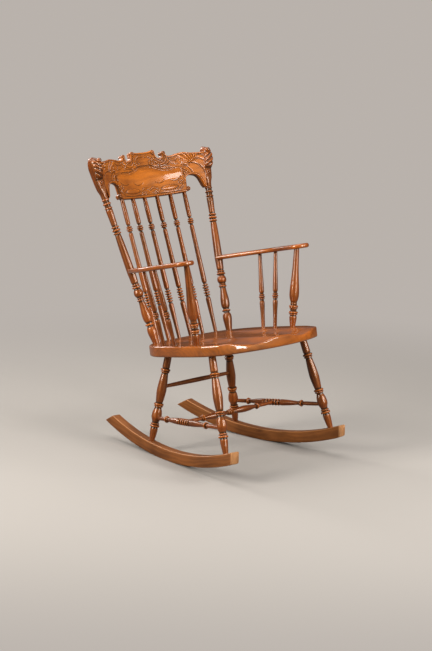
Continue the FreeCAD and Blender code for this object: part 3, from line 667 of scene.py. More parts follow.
def seatTop(x, y):
    # Flat, less two hollows: each is the underside of a big roller whose axis climbs to the back.
    # The lip where a hollow meets the flat is rounded with a soft minimum of the two heights.
    s = seatShape
    climb = (y - s["front"]) * s["hollow"] / s["hollowLength"]
    aside = np.minimum(np.abs(np.abs(x) - s["hollowX"]), s["hollowRadius"] * 0.9)
    roller = s["hollowRadius"] - s["hollow"] + climb - np.sqrt(s["hollowRadius"] ** 2 - aside ** 2)
    return 0.5 * (roller - np.sqrt(roller ** 2 + s["lip"] ** 2))


rim = seatRim()
skin = boardSkin(rim, seatSpine(rim), seatTop, -chair["seatThickness"], seatShape["rounding"],
                 seatShape["rows"])
seatPoints = tilt(skin, chair["seatSlope"], chair["seatHeight"])
seatGrain = np.stack([skin[..., 1] + 40.0, skin[..., 2] + 150.0, skin[..., 0]], axis=-1)
# The lower half of the edge and the underside are darkened a little with painted shade
seatUnderShade = np.clip((-chair["seatThickness"] * 0.5 - skin[..., 2]) / seatShape["underFade"],
                     0.0, seatShape["paintedUnderShade"])
addPiece("seat", gridMesh("seat", seatPoints, seatGrain, seatUnderShade), "seat", materials["seat"])
print("seat made")


# Rockers

rockerShape = {"frontReach": -370.0, "rearReach": 343.0, "tailSlant": 44.0, "nose": 13.0, "noseBulge": 2.6,
               "rounding": 3.0, "rows": 150, "wornEdge": -0.5, "paintedNoseHighlight": -0.5, "wornAside": 13.5,
               "wornUp": 1.6, "underFrom": 14.0, "underFade": 40.0, "paintedUnderShade": 0.2}


def roundedLoop(halfWidth, halfHeight, round, each=5):
    # A rectangle with quarter-circle corners, as one closed loop of (across, up)
    turns = np.linspace(0.0, pi / 2, each)
    loop = []
    for quarter, (sideX, sideY) in enumerate(((1, 1), (-1, 1), (-1, -1), (1, -1))):
        angle = turns + quarter * pi / 2
        loop.append(np.stack([sideX * (halfWidth - round) + round * np.cos(angle),
                              sideY * (halfHeight - round) + round * np.sin(angle)], axis=-1))
    return np.concatenate(loop)


def rockerSkin():
    # The loop of the section is carried from nose to tail. Its share of the height sets where it
    # starts and ends along the rocker, which rounds the nose and slants the tail.
    s = rockerShape
    half = chair["rockerDepth"] / 2
    loop = roundedLoop(chair["rockerThickness"] / 2, half, s["rounding"])
    shrink = np.concatenate([[1.4, 0.5], np.zeros(s["rows"]), [0.5, 1.2]])
    along = np.concatenate([[0.0, 0.0008], np.linspace(0.003, 0.997, s["rows"]), [0.9992, 1.0]])
    aside = loop[:, 0][None, :] * (1.0 - shrink / (chair["rockerThickness"] / 2))[:, None]
    up = loop[:, 1][None, :] * (1.0 - shrink / half)[:, None]
    share = (up / half + 1.0) / 2
    bulge = (1.0 - np.abs(up / half) ** s["noseBulge"]) ** (1 / s["noseBulge"])
    nose = s["frontReach"] + s["nose"] * (1.0 - bulge)
    tail = s["rearReach"] - s["tailSlant"] * share
    reach = nose + along[:, None] * (tail - nose)
    low, high = rockerLow(reach), rockerHigh(reach)
    points = rockerPlace(reach, aside, low + share * (high - low))
    grain = np.stack([aside + 60.0, up + 25.0, reach], axis=-1)
    edge = (np.abs(loop[:, 0]) > s["wornAside"]) & (np.abs(loop[:, 1]) > half - s["wornUp"])
    # Wear on the corner edges, and painted shade darkening the underside
    hollow = (np.where(np.broadcast_to(edge, aside.shape), s["wornEdge"], 0.0)
              + np.clip((-up - s["underFrom"]) / s["underFade"], 0.0, s["paintedUnderShade"]))
    # The nose is lightened with a painted highlight
    hollow[:3] = s["paintedNoseHighlight"]
    return points, grain, hollow


addPair("rocker", "rocker", *rockerSkin(), "rocker_wood", materials["rocker"])
print("rockers made")


# Arms

armShape = {"rearWidth": 41.0, "waist": 46.0, "paddle": 35.0, "paddleX": 264.0, "paddleY": -129.0,
            "hipX": 265.0, "hipY": 53.0, "elbowX": 277.0, "elbowY": -10.0, "rounding": 6.2, "notch": 4.0,
            "postRoom": 12.0, "spineStop": 18.0, "places": 80, "paddlePlaces": 44, "endPlaces": 12,
            "rows": 12, "underFrom": 5.0, "underFade": 12.0, "paintedUnderShade": 0.25}


def armMeeting():
    # Where the middle plane of the arm meets the axis of the post
    foot = postAxis(backSeatLevel(chair["postSet"]))
    along = unit(postAxis(900.0) - foot)
    fall = tan(radians(chair["armSlope"]))
    distance = (chair["armHeight"] - foot[1] * fall - foot[2]) / (along[2] + along[1] * fall)
    return foot + along * distance


def armSkin():
    # The outer and the inner edge are loose curves over the distance along the arm, through
    # (along, across) stations beside the elbow and the hip. The paddle is a half circle, and the
    # spine runs midway between the edges.
    s = armShape
    stretch = 1.0 / cos(radians(chair["armSlope"]))
    middleY = s["paddleY"] * stretch
    meeting = armMeeting()
    rearX, rearY = meeting[0], (meeting[1] - s["postRoom"] + s["notch"]) * stretch
    waist, rear = s["waist"] / 2, s["rearWidth"] / 2
    elbowY, hipY = s["elbowY"] * stretch, s["hipY"] * stretch
    outer = [(middleY, s["paddleX"] + s["paddle"]), (elbowY - 49, s["elbowX"] + waist - 3),
             (elbowY + 6, s["elbowX"] + waist), (hipY + 21, s["hipX"] + waist * 0.72),
             (rearY, rearX + rear)]
    inner = [(middleY, s["paddleX"] - s["paddle"]), (elbowY - 54, s["elbowX"] - waist - 6),
             (elbowY - 4, s["elbowX"] - waist + 1), (hipY - 4, s["hipX"] - waist - 3),
             (rearY, rearX - rear)]
    along = np.linspace(middleY, rearY, s["places"])
    outerX, innerX = curveThrough(along, outer, tight=False), curveThrough(along, inner, tight=False)
    turn = np.linspace(pi, 2 * pi, s["paddlePlaces"], endpoint=False)[1:]
    paddle = np.stack([s["paddleX"] + s["paddle"] * np.cos(turn),
                       middleY + s["paddle"] * np.sin(turn)], axis=-1)
    rearLine = np.linspace(outerX[-1], innerX[-1], s["endPlaces"])[1:-1]
    rim = np.concatenate([np.stack([outerX, along], axis=-1),
                          np.stack([rearLine, np.full(rearLine.shape, rearY)], axis=-1),
                          np.stack([innerX, along], axis=-1)[::-1], paddle])
    middle = (outerX + innerX) / 2
    spineY = np.clip(rim[:, 1], middleY, rearY - s["spineStop"])
    spine = np.stack([np.interp(spineY, along, middle), spineY], axis=-1)
    half = chair["armThickness"] / 2
    skin = boardSkin(rim, spine, lambda x, y: np.full(x.shape, half), -half, s["rounding"], s["rows"])
    grain = np.stack([skin[..., 0] - 180.0, skin[..., 2] + 60.0, skin[..., 1]], axis=-1)
    # The underside is darkened with painted shade
    under = np.clip((-skin[..., 2] - s["underFrom"]) / s["underFade"], 0.0, s["paintedUnderShade"])
    return tilt(skin, chair["armSlope"], chair["armHeight"]), grain, under


addPair("arm", "arm", *armSkin(), "arm_wood", materials["arm"])
print("arms made")


# Ears: the carved heads of the back posts

# Stations are (up the ear, distance from its axis)
earShape = {"length": 142.0, "bottomDrop": 14.0, "inner": 12.5, "halfDepth": 12.5,
            "outerSide": [(0, 11.2), (14, 11.4), (30, 14.8), (60, 18.0), (100, 19.4), (122, 18.2),
                          (134, 14.5), (142, 8.0)],
            "innerTop": [(0, 99), (110, 12.5), (130, 12.0), (142, 7.0)],
            "rollMiddle": 103.0, "rollHalf": 37.0, "roll": 19.0, "crown": 125.0, "crownHeight": 19.0,
            "ridgePitch": 17.0, "ridgeDepth": 4.2, "ridgeSlant": 0.75,
            "lineIn": 7.0, "lineHalf": 1.1, "lineDepth": 0.9, "shadeUnderRoll": 65.0}


def earFrame():
    # The axes of an ear: outwards, backwards and up the post
    splay, rake = radians(chair["postSplay"]), radians(chair["backRake"])
    outwards = np.array([cos(splay), 0.0, -sin(splay)])
    upwards = np.array([sin(splay), 0.0, cos(splay)])

    def lean(v):
        return np.array([v[0], v[1] * cos(rake) + v[2] * sin(rake), v[2] * cos(rake) - v[1] * sin(rake)])

    return lean(outwards), lean(np.array([0.0, 1.0, 0.0])), lean(upwards)


def earPlace(x, y, z):
    # From outwards, backwards and up the ear, counted from its foot on the post, to the chair's frame
    outwards, backwards, upwards = earFrame()
    foot = postAxis(chair["backLength"] - earShape["bottomDrop"]
                    - earShape["length"] * cos(radians(chair["postSplay"])))
    x, y, z = (np.asarray(value)[..., None] for value in (x, y, z))
    return foot + x * outwards + y * backwards + z * upwards


def earSkin():
    # Level sections stacked up the ear. Each is a superellipse between an inner and an outer side
    # and a front and a back line. The front swells as a half oval where the head rolls forward.
    s = earShape
    rise = np.concatenate([np.linspace(0.0, 60.0, 34), np.linspace(61.0, 132.0, 96),
                           s["length"] - 10.0 * (1.0 - np.sin(np.linspace(0.05, pi / 2, 22)))])
    inner = np.interp(rise, [0, 10, 34], [11.2, 10.6, s["inner"]])
    outer = curveThrough(rise, s["outerSide"])
    inner = np.minimum(inner, curveThrough(rise, s["innerTop"]))
    swell = np.sqrt(np.clip(1.0 - ((rise - s["rollMiddle"]) / s["rollHalf"]) ** 2, 0.0, 1.0))
    front = np.interp(rise, [0, 12, 34], [11.2, 10.8, s["halfDepth"]]) + s["roll"] * swell
    over = (rise - s["crown"]) / s["crownHeight"]
    front = front * np.where(over > 0, np.sqrt(np.clip(1 - over ** 2, 0.02, 1)), 1.0)
    back = np.interp(rise, [0, 12, 34], [11.2, 10.8, s["halfDepth"]])
    back = back - 20.0 * (1.0 - np.sqrt(np.clip(1.0 - (np.clip(rise - 100.0, 0, 42) / 44.0) ** 2, 0, 1)))
    turn = np.linspace(0.0, 2 * pi, 128, endpoint=False)
    power = np.interp(rise, [0, 30, 110, 142], [1.0, 0.42, 0.42, 0.7])[:, None]
    c, n = np.cos(turn)[None, :], np.sin(turn)[None, :]
    shapeX = np.sign(c) * np.abs(c) ** power
    shapeY = np.sign(n) * np.abs(n) ** power
    x = np.where(shapeX > 0, outer[:, None], inner[:, None]) * shapeX
    y = np.where(shapeY > 0, back[:, None], front[:, None]) * shapeY
    z = np.broadcast_to(rise[:, None], x.shape).copy()
    # Carving: round slanting ridges with sharp valleys on the front of the roll, and a line that
    # follows the front edge on the outer side
    facing = easeBetween(-shapeY, 0.35, 0.8)
    wave = np.abs(np.sin((z - s["ridgeSlant"] * x - 58.0) * pi / s["ridgePitch"]))
    onRoll = easeBetween(z, 66.0, 74.0) * (1 - easeBetween(z, 128.0, 136.0))
    y = y + facing * onRoll * (1.0 - wave) * s["ridgeDepth"]
    ahead = y + front[:, None]
    lined = (np.exp(-((ahead - s["lineIn"]) / s["lineHalf"]) ** 2)
             * easeBetween(np.abs(shapeX), 0.8, 0.97) * easeBetween(z, 20.0, 30.0))
    x = x - np.sign(x) * lined * s["lineDepth"]
    # Stain and painted shade darken the valleys and the line, a painted shadow darkens a band under the roll,
    # and the ridge tops are lighter by wear and painted highlight
    hollow = np.maximum(facing * onRoll * np.exp(-(wave / 0.32) ** 2), lined * 0.8)
    shadeUnderRoll = np.exp(-((z - s["shadeUnderRoll"]) / 2.6) ** 2) * facing
    hollow = np.clip(hollow + shadeUnderRoll, 0.0, 1.0) - 0.25 * facing * onRoll * wave ** 4
    return earPlace(x, y, z), np.stack([x + 55.0, y + 20.0, z + 40.0], axis=-1), hollow


def rosetteSkin(middleX, level, radius, rise):
    # A flower of eight petals on the ear's front: height over a disc is a dome times a petal wave,
    # with a button in its middle
    s = earShape
    ring = np.linspace(0.0, 1.0, 26)[:, None]
    turn = np.linspace(0.0, 2 * pi, 64, endpoint=False)[None, :]
    petal = 0.86 + 0.14 * np.abs(np.cos(4 * turn))
    button = easeBetween(ring, 0.42, 0.30)
    bowl = np.sin(pi * np.clip((ring - 0.3) / 0.7, 0, 1) * 0.85 + 0.35)
    height = rise * (button * (0.75 + 0.35 * np.sqrt(1 - np.clip(ring / 0.42, 0, 1) ** 2))
                     + (1 - button) * bowl * (0.62 + 0.38 * np.abs(np.cos(4 * turn))))
    height = height * np.sqrt(1.0 - ring ** 6)
    x = middleX + radius * petal * ring * np.cos(turn)
    z = level + radius * petal * ring * np.sin(turn)
    y = -s["halfDepth"] + 2.0 - height
    skirt = np.stack([x[-1:], np.full_like(x[-1:], -s["halfDepth"] + 6.0), z[-1:]], axis=-1)
    body = np.stack([x, y + 0 * x, z], axis=-1)
    local = np.concatenate([body, skirt])
    points = earPlace(local[..., 0], local[..., 1], local[..., 2])
    # The gaps between the petals and a ring round the button are darkened with stain and painted shade
    dark = (1 - np.abs(np.cos(4 * turn))) * (ring > 0.4) * 0.7 + np.exp(-((ring - 0.36) / 0.06) ** 2)
    hollow = np.concatenate([dark, dark[-1:]])
    return points, local + 33.0, np.clip(hollow, 0, 1)


knobPattern = {
    "body": [(0.0, 6.0), (0.25, 6.2), (0.34, 5.4), (0.45, 7.2), (0.68, 8.4), (0.86, 6.6),
             (0.96, 3.4), (1.0, 1.0)],
    "beads": [],
}

postFoot = postAxis(backSeatLevel(chair["postSet"]))
postHead = earPlace(0.0, 0.0, 0.0)
knobEnds = earPlace(-4.0, -14.0, 121.0), earPlace(-6.0, -38.0, 126.0)
addTurnedPair("backPost", "back_post", (postFoot, postHead), postPattern, (8.0, 3.0))
addPair("ear", "back_post", *earSkin(), "turned_wood", materials["turned"])
addPair("rosette", "back_post", *rosetteSkin(middleX=2.5, level=51.0, radius=10.5, rise=6.5),
        "turned_wood", materials["arm"])
addTurnedPair("earKnob", "back_post", knobEnds, knobPattern, (0.0, 0.0), sides=32)
print("posts and ears made")


# Crest rail

crestShape = {"rounding": 3.2, "columns": 430, "frontRows": 138, "backRows": 30, "foot": 2.2, "ground": 0.8,
              "topWallShade": 0.15, "paintedUnderShade": 0.8, "judgedOver": 7}

# The sawn outline of the left half, as (across, up the raked plane)
crestTop = [(0, 1032.5), (24, 1032.5), (33, 1034.0), (40, 1035.5), (46, 1035), (51, 1031.5), (54, 1026),
            (56, 1018), (60, 1011), (67, 1007), (76, 1006), (82, 1010), (85, 1018), (88, 1026),
            (91, 1028.5), (95, 1025), (99, 1017), (105, 1011), (118, 1010), (135, 1013), (152, 1015),
            (166, 1015.5), (180, 1013), (195, 1009.5), (215, 1007), (250, 1004)]
crestBottom = [(0, 876), (60, 876), (120, 876), (151.5, 877), (152.0, 912), (154, 922), (160, 928),
               (170, 932.5), (179, 933.5), (190, 931), (198, 927), (206, 917), (211, 902), (215, 888),
               (219, 882), (235, 880), (260, 880)]


def crestEnd(up):
    # Across to the flat inner side of the ear, at a height up the raked plane
    rise = up - backSeatLevel(chair["postSet"])
    return (chair["postFootX"] + rise * tan(radians(chair["postSplay"]))
            - earShape["inner"] / cos(radians(chair["postSplay"])))


def meetLine(share, stations):
    # Where the column at a share of the rail's half length meets the top or bottom line,
    # found by putting the height back in a few times
    up = np.full(share.shape, 945.0)
    for _ in range(6):
        x = share * crestEnd(up)
        up = curveThrough(np.abs(x), stations, tight=True)
    return share * crestEnd(up), up


# The carving on one half. Ribs and cuts are (line, half width, height or depth), and leaves are
# (root, tip, half width). The smooth field in the middle lies inside the line named cartouche.
cartouche = flowLine([(0, 980), (28, 978), (54, 968), (84, 962), (112, 963), (134, 965), (147, 958),
                      (150, 946), (142, 936), (122, 931), (96, 931), (70, 926), (40, 920), (0, 918)], 160)
crestRibs = [
    (cartouche[:86], 1.7, 1.6),
    (flowLine([(44, 1012), (48, 998), (60, 987), (75, 985), (89, 991), (100, 1004)], 70), 2.9, 3.2),
    (flowLine([(6, 1017), (22, 1017), (35, 1009), (40, 996), (33, 987), (23, 989), (23, 997),
               (29, 999)], 80), 2.3, 2.4),
    (flowLine([(106, 1002), (118, 995), (132, 995), (142, 1002)], 50), 2.0, 2.2),
    (flowLine([(147, 962), (160, 957), (168, 945), (162, 935), (152, 938), (155, 946)], 60), 2.3, 2.5),
    (flowLine([(3, 901), (14, 907), (26, 907), (36, 901), (38, 893), (30, 889), (25, 895)], 70), 2.1, 2.2),
    (flowLine([(127, 892), (138, 900), (142, 912), (135, 921), (127, 916), (131, 910)], 60), 2.1, 2.2),
]
crestCuts = [
    (flowLine([(0, 986), (28, 984), (52, 976), (74, 969), (98, 968), (122, 965)], 90), 1.8, 1.5),
    (flowLine([(58, 978), (78, 976), (96, 981), (110, 990)], 50), 1.7, 1.4),
    (flowLine([(30, 925), (44, 920), (60, 922), (70, 930)], 40), 1.5, 0.8),
    (flowLine([(96, 926), (110, 922), (126, 926), (138, 934)], 40), 1.5, 0.8),
    (flowLine([(44, 886), (84, 883), (122, 886)], 60), 1.7, 1.4),
    (flowLine([(150, 972), (166, 966), (180, 952), (186, 938)], 60), 1.8, 1.5),
    (flowLine([(176, 975), (196, 972), (214, 962), (226, 944), (230, 920)], 70), 1.8, 1.5),
    (flowLine([(204, 986), (220, 984), (236, 974)], 40), 1.7, 1.4),
    (flowLine([(214, 999), (228, 996), (242, 988)], 40), 1.7, 1.4),
]
crestLeaves = [((108, 987), (140, 978), 6.5), ((146, 990), (180, 966), 8.5), ((152, 928), (172, 941), 6.0),
               ((62, 1000), (84, 996), 4.5), ((6, 892), (26, 885), 4.0), ((104, 975), (88, 990), 4.0)]
carving = {"fieldRise": 2.6, "fieldSlope": 22.0, "leafRise": 2.1, "veinPitch": 5.6, "veinSlant": 0.9,
           "bossX": 84.0, "bossUp": 900.0, "bossHalf": 33.0, "bossHalfUp": 8.6, "bossRise": 4.0,
           "shellX": 200.0, "shellUp": 962.0, "shellRise": 3.2, "flutePitch": 13.4, "fluteFrom": 33.0,
           "wingX": 208.0, "wingUp": 950.0, "wingDepth": 2.6, "beadIn": 3.4, "beadHalf": 2.9, "beadRise": 2.5}


def crestRelief(x, up, edge):
    # Height over the flat of the rail and share of stain and painted shade, for places on the left half.
    # A rib is a half round along its line with a dark foot of stain and painted shade on both sides, and a
    # cut is a bell-shaped valley.
    c = carving
    height, dark = np.zeros(x.shape), np.zeros(x.shape)
    for line, half, rise in crestRibs:
        apart = distanceTo(x, up, line)
        height = np.maximum(height, rise * np.sqrt(np.clip(1.0 - (apart / half) ** 2, 0.0, 1.0)))
        dark = np.maximum(dark, 0.95 * np.exp(-((apart - half - 0.8) / 1.3) ** 2))
    # Leaves: almonds round a bent midrib, cut by slanting veins, darkened with stain and painted shade in the
    # veins and round the outline
    for start, end, half in crestLeaves:
        start, end = np.array(start, float), np.array(end, float)
        length = np.linalg.norm(end - start)
        axis = (end - start) / length
        share = ((x - start[0]) * axis[0] + (up - start[1]) * axis[1]) / length
        bow = np.sin(pi * np.clip(share, 0, 1))
        off = (up - start[1]) * axis[0] - (x - start[0]) * axis[1] - 2.5 * bow
        width = half * bow ** 0.7 + 1e-6
        inside = (share > 0) & (share < 1) & (np.abs(off) < width)
        veins = 0.5 + 0.5 * np.cos((share * length - np.abs(off) * c["veinSlant"]) * 2 * pi / c["veinPitch"])
        leaf = c["leafRise"] * np.sqrt(np.clip(1 - (off / width) ** 2, 0, 1)) * (0.6 + 0.4 * veins)
        leaf = leaf - 0.9 * np.exp(-(off / 0.8) ** 2)
        height = np.maximum(height, np.where(inside, leaf, 0.0))
        carvedStainAndShade = np.maximum(0.7 * (1 - veins) ** 2, np.exp(-((np.abs(off) - width) / 0.9) ** 2))
        near = (share > -0.05) & (share < 1.05) & (np.abs(off) < width + 2.0)
        dark = np.where(near, np.maximum(dark * (np.abs(off) > width), 0.85 * carvedStainAndShade), dark)
    # Oval boss in its ring, a dark line of stain and painted shade round it
    oval = np.hypot((x - c["bossX"]) / c["bossHalf"], (up - c["bossUp"]) / c["bossHalfUp"])
    height = np.maximum(height, c["bossRise"] * np.sqrt(np.clip(1.0 - oval ** 2, 0.0, 1.0)))
    dark = np.maximum(dark * (oval > 1.0), 0.95 * np.exp(-((oval - 1.08) / 0.09) ** 2))
    # Shell flutes fan out from below the ear towards the top edge, with a dark line of stain and painted
    # shade in each valley
    away = np.hypot(x - c["shellX"], up - c["shellUp"])
    angle = np.degrees(np.arctan2(up - c["shellUp"], c["shellX"] - x))
    fan = (easeBetween(away, 12.0, 20.0) * easeBetween(angle, 30.0, 36.0)
           * (1 - easeBetween(angle, 112.0, 120.0)) * (1 - easeBetween(away, 72.0, 86.0)))
    wave = np.abs(np.sin(np.radians(angle - c["fluteFrom"]) * 180.0 / c["flutePitch"]))
    height = np.maximum(height, fan * c["shellRise"] * wave)
    dark = np.maximum(dark * (1 - fan), fan * 0.95 * np.exp(-(wave / 0.34) ** 2))
    # A smooth hollow in the wing below the ear
    wing = -((x - c["wingX"]) / 19.0) ** 2 - ((up - c["wingUp"]) / 26.0) ** 2
    height = height - c["wingDepth"] * np.exp(wing)
    # A bead follows the sawn edge, with a dark line of stain and painted shade inside it
    bead = np.sqrt(np.clip(1 - ((edge - c["beadIn"]) / c["beadHalf"]) ** 2, 0, 1))
    height = np.maximum(height, c["beadRise"] * bead)
    dark = np.maximum(dark * (edge > 6.3), 0.9 * np.exp(-((edge - 7.2) / 1.2) ** 2))
    # Each cut is darkened with stain and painted shade
    for line, half, depth in crestCuts:
        cut = np.exp(-(distanceTo(x, up, line) / half) ** 2) * (edge > 7)
        height = height - depth * cut
        dark = np.maximum(dark, cut)
    field = insideOf(x, up, cartouche)
    grow = field * np.clip(distanceTo(x, up, cartouche) / c["fieldSlope"], 0.0, 1.0)
    return height + c["fieldRise"] * np.sin(grow * pi / 2), dark * (1 - field * 0.4)


def insideOf(x, up, line):
    # 1 inside the closed half outline that begins and ends on the middle line, by crossings
    crossings = np.zeros(x.shape, int)
    for (x0, y0), (x1, y1) in zip(line[:-1], line[1:]):
        if y0 == y1:
            continue
        spans = (np.minimum(y0, y1) <= up) & (up < np.maximum(y0, y1))
        at = x0 + (up - y0) * (x1 - x0) / (y1 - y0)
        crossings += spans & (at > x)
    return (crossings % 2).astype(float)


def crestSkin():
    # Columns at shares of the half length, closer where the outline drops steeply, run up the front,
    # over the top edge, down the back and under the bottom edge
    s = crestShape
    even = np.linspace(-1.0, 1.0, s["columns"])
    steep = np.array([0.207, 0.2095, 0.212, 0.2145, 0.217, 0.219, 0.357, 0.362, 0.367,
                      0.6925, 0.6955, 0.6975])
    share = np.unique(np.concatenate([even, steep, -steep]))
    lowX, lowUp = meetLine(share, crestBottom)
    highX, highUp = meetLine(share, crestTop)
    v = np.linspace(0.0, 1.0, s["frontRows"])[:, None]
    x = lowX + v * (highX - lowX)
    up = lowUp + v * (highUp - lowUp)
    outline = np.concatenate([np.stack([lowX, lowUp], axis=-1), np.stack([highX, highUp], axis=-1)])
    edge = distanceTo(x, up, outline)
    relief, carvedStainAndShade = crestRelief(np.abs(x), up, edge)
    round = s["rounding"]
    near = np.clip(round - edge, 0.0, round)
    fall = round - np.sqrt(round ** 2 - near ** 2)
    half = chair["crestThickness"] / 2
    level = half - s["ground"] + relief * easeBetween(edge, 0.0, s["foot"]) - fall
    vBack = np.linspace(1.0, 0.0, s["backRows"])[:, None]
    backX, backUp = lowX + vBack * (highX - lowX), lowUp + vBack * (highUp - lowUp)
    backEdge = distanceTo(backX, backUp, outline)
    backNear = np.clip(round - backEdge, 0.0, round)
    backLevel = -half + round - np.sqrt(round ** 2 - backNear ** 2)
    walls = np.linspace(1.0, -1.0, 5)[1:-1, None] * (half - round)
    x = np.concatenate([x, highX + 0 * walls, backX, lowX + 0 * walls])
    up = np.concatenate([up, highUp + 0 * walls, backUp, lowUp + 0 * walls])
    level = np.concatenate([level, walls + 0 * highX, backLevel, -walls + 0 * lowX])
    points = backPoint(x, bowOut(x, level), up)
    # Stain and painted shade in the dark lines and dips, and raised parts lighter by wear and painted
    # highlight
    dip = smoothField(relief, s["judgedOver"]) - relief
    hollow = (np.maximum(carvedStainAndShade * 0.95, np.clip((dip - 0.3) / 1.2, 0, 1) * 0.8)
              + np.clip(dip / 2.0, -1, 0) * 0.35)
    # The top walls get a little painted shade and the lower walls much painted shade
    tail = np.zeros((len(x) - len(hollow), x.shape[1]))
    tail[:len(walls)] = s["topWallShade"]
    tail[-len(walls):] = s["paintedUnderShade"]
    hollow = np.concatenate([hollow, tail])
    grain = np.stack([up - 760.0, level + 95.0, x], axis=-1)
    return points.transpose(1, 0, 2), grain.transpose(1, 0, 2), hollow.T


def smoothField(field, width):
    # Mean over a square of the grid, by running sums along each way
    for _ in range(2):
        padded = np.pad(field, ((width // 2, width // 2), (0, 0)), mode="edge")
        total = np.cumsum(np.concatenate([np.zeros((1, field.shape[1])), padded]), axis=0)
        field = ((total[width:] - total[:-width]) / width).T
    return field


addPiece("crestRail", gridMesh("crestRail", *crestSkin(), sharp=60.0),
         "crest_rail", materials["carved"])

# Rolled scroll ends: the middle across and up, the radius, the turns of the spiral, and the degrees
# at which it starts, for the left half
scrolls = {"crown": dict(middleX=45.5, middleUp=1028.2, radius=8.6, turns=1.3, start=20.0, way=1.0),
           "hook": dict(middleX=91.0, middleUp=1021.0, radius=7.4, turns=1.3, start=160.0, way=-1.0),
           "arch": dict(middleX=154.5, middleUp=886.5, radius=8.2, turns=1.4, start=60.0, way=1.0)}
scrollDraw = {"rings": 30, "columns": 60, "sideRows": 6, "backEvery": 6, "ridge": 1.9, "eye": 1.6, "rim": 2.5}


def voluteSkin(middleX, middleUp, radius, turns, start, way):
    # A round button whose front is a spiral ridge rising to its eye
    s = scrollDraw
    ring = np.linspace(0.0, 1.0, s["rings"])[:, None]
    turn = np.linspace(0.0, 2 * pi, s["columns"], endpoint=False)[None, :]
    pitch = radius / turns
    phase = (ring * radius - way * (turn - radians(start)) * pitch / (2 * pi)) / pitch
    ridge = 0.5 + 0.5 * np.cos(2 * pi * phase)
    x = middleX + radius * ring * np.cos(turn)
    up = middleUp + radius * ring * np.sin(turn)
    half = chair["crestThickness"] / 2
    level = (half + 0.6 + s["ridge"] * ridge * easeBetween(ring, 0.0, 0.2) + s["eye"] * (1 - ring)
             - s["rim"] * easeBetween(ring, 0.86, 1.0))
    # The spiral's valley is darkened with stain and painted shade; its side and back are a little darker
    hollow = (1 - ridge) * 0.9
    rings, columns = ridge.shape
    side = np.linspace(half - 2.0, -half + 0.8, s["sideRows"])[:, None]
    x = np.concatenate([x, x[-1:] + 0 * side, x[::-s["backEvery"]]])
    up = np.concatenate([up, up[-1:] + 0 * side, up[::-s["backEvery"]]])
    level = np.concatenate([level, side + 0 * turn])
    level = np.concatenate([level, np.full((len(x) - len(level), columns), -half + 0.2)])
    hollow = np.concatenate([hollow, np.full((len(x) - rings, columns), 0.25)])
    points = backPoint(x, bowOut(x, level), up)
    return points, np.stack([up - 760.0, level + 95.0, x], axis=-1), hollow


for name, scroll in scrolls.items():
    mirrored = dict(scroll, middleX=-scroll["middleX"], start=180.0 - scroll["start"], way=-scroll["way"])
    for side, values in (("Left", scroll), ("Right", mirrored)):
        addPiece(name + "Scroll" + side, gridMesh(name + "Scroll" + side, *voluteSkin(**values)),
                 "crest_rail", materials["carved"])
print("crest rail carved")


# Screws from the backs of the posts into the arms. The dowels in the crest rail keep their solids.

def plainFinish(name, colour, metallic, rough):
    # One colour, clouded with a darker tone of itself, and rougher in the same clouds
    material = bpy.data.materials.new(name)
    material.use_nodes = True
    nodes, links = material.node_tree.nodes, material.node_tree.links
    shader = nodes["Principled BSDF"]
    shader.inputs["Metallic"].default_value = metallic
    places = nodes.new("ShaderNodeTexCoord")
    cloud = nodes.new("ShaderNodeTexNoise")
    cloud.inputs["Scale"].default_value = 900.0  # spots of about a millimetre
    links.new(places.outputs["Object"], cloud.inputs["Vector"])
    ramp = nodes.new("ShaderNodeValToRGB")
    ramp.color_ramp.elements[0].color = (*(0.6 * np.array(colour)), 1.0)  # tarnish and dirt
    ramp.color_ramp.elements[1].color = (*colour, 1.0)
    links.new(cloud.outputs["Fac"], ramp.inputs["Fac"])
    links.new(ramp.outputs["Color"], shader.inputs["Base Color"])
    spread = nodes.new("ShaderNodeMapRange")
    spread.inputs["To Min"].default_value = rough - 0.08
    spread.inputs["To Max"].default_value = rough + 0.12
    links.new(cloud.outputs["Fac"], spread.inputs["Value"])
    links.new(spread.outputs["Result"], shader.inputs["Roughness"])
    return material


steel = plainFinish("dullSteel", (0.42, 0.39, 0.35), 1.0, 0.35)
bareDowel = plainFinish("bareDowel", (0.55, 0.38, 0.20), 0.0, 0.6)

screwPattern = {
    "body": [(0.0, 0.4), (0.10, 2.4), (0.925, 2.4), (0.93, 4.6), (0.97, 4.5), (1.0, 2.8)],
    "beads": [],
}
screwShape = {"length": 46.0, "head": 3.8, "sunk": 3.0}


def armScrew():
    # From its tip in the arm to its head, which stands a little out of the post's back
    s = screwShape
    meeting = armMeeting()
    length = np.linalg.norm(postHead - postFoot)
    share = np.array([np.linalg.norm(meeting - postFoot) / length])
    radius = float(turnedRadius(share, length, postPattern)[0])
    slope = radians(chair["armSlope"])
    inwards = np.array([0.0, -cos(slope), sin(slope)])
    face = meeting - inwards * (radius - s["sunk"])
    return turned(face + inwards * s["length"], face - inwards * s["head"], screwPattern, sides=24)


screwPoints, screwGrain, screwHollow = armScrew()
for name, places in (("armScrewLeft", screwPoints), ("armScrewRight", mirror(screwPoints))):
    addPiece(name, gridMesh(name, places, screwGrain, screwHollow), "arm_screws", steel)
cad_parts["crest_dowels"].data.materials.clear()
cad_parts["crest_dowels"].data.materials.append(bareDowel)
print("screws and dowels made")


# Studio

studio = {"floor": (0.272, 0.252, 0.230), "backdrop": (0.487, 0.445, 0.411), "world": (0.98, 0.97, 1.0),
          "worldStrength": 0.12, "bounce": 0.45, "litWithin": 0.7, "evenBeyond": 2.4}


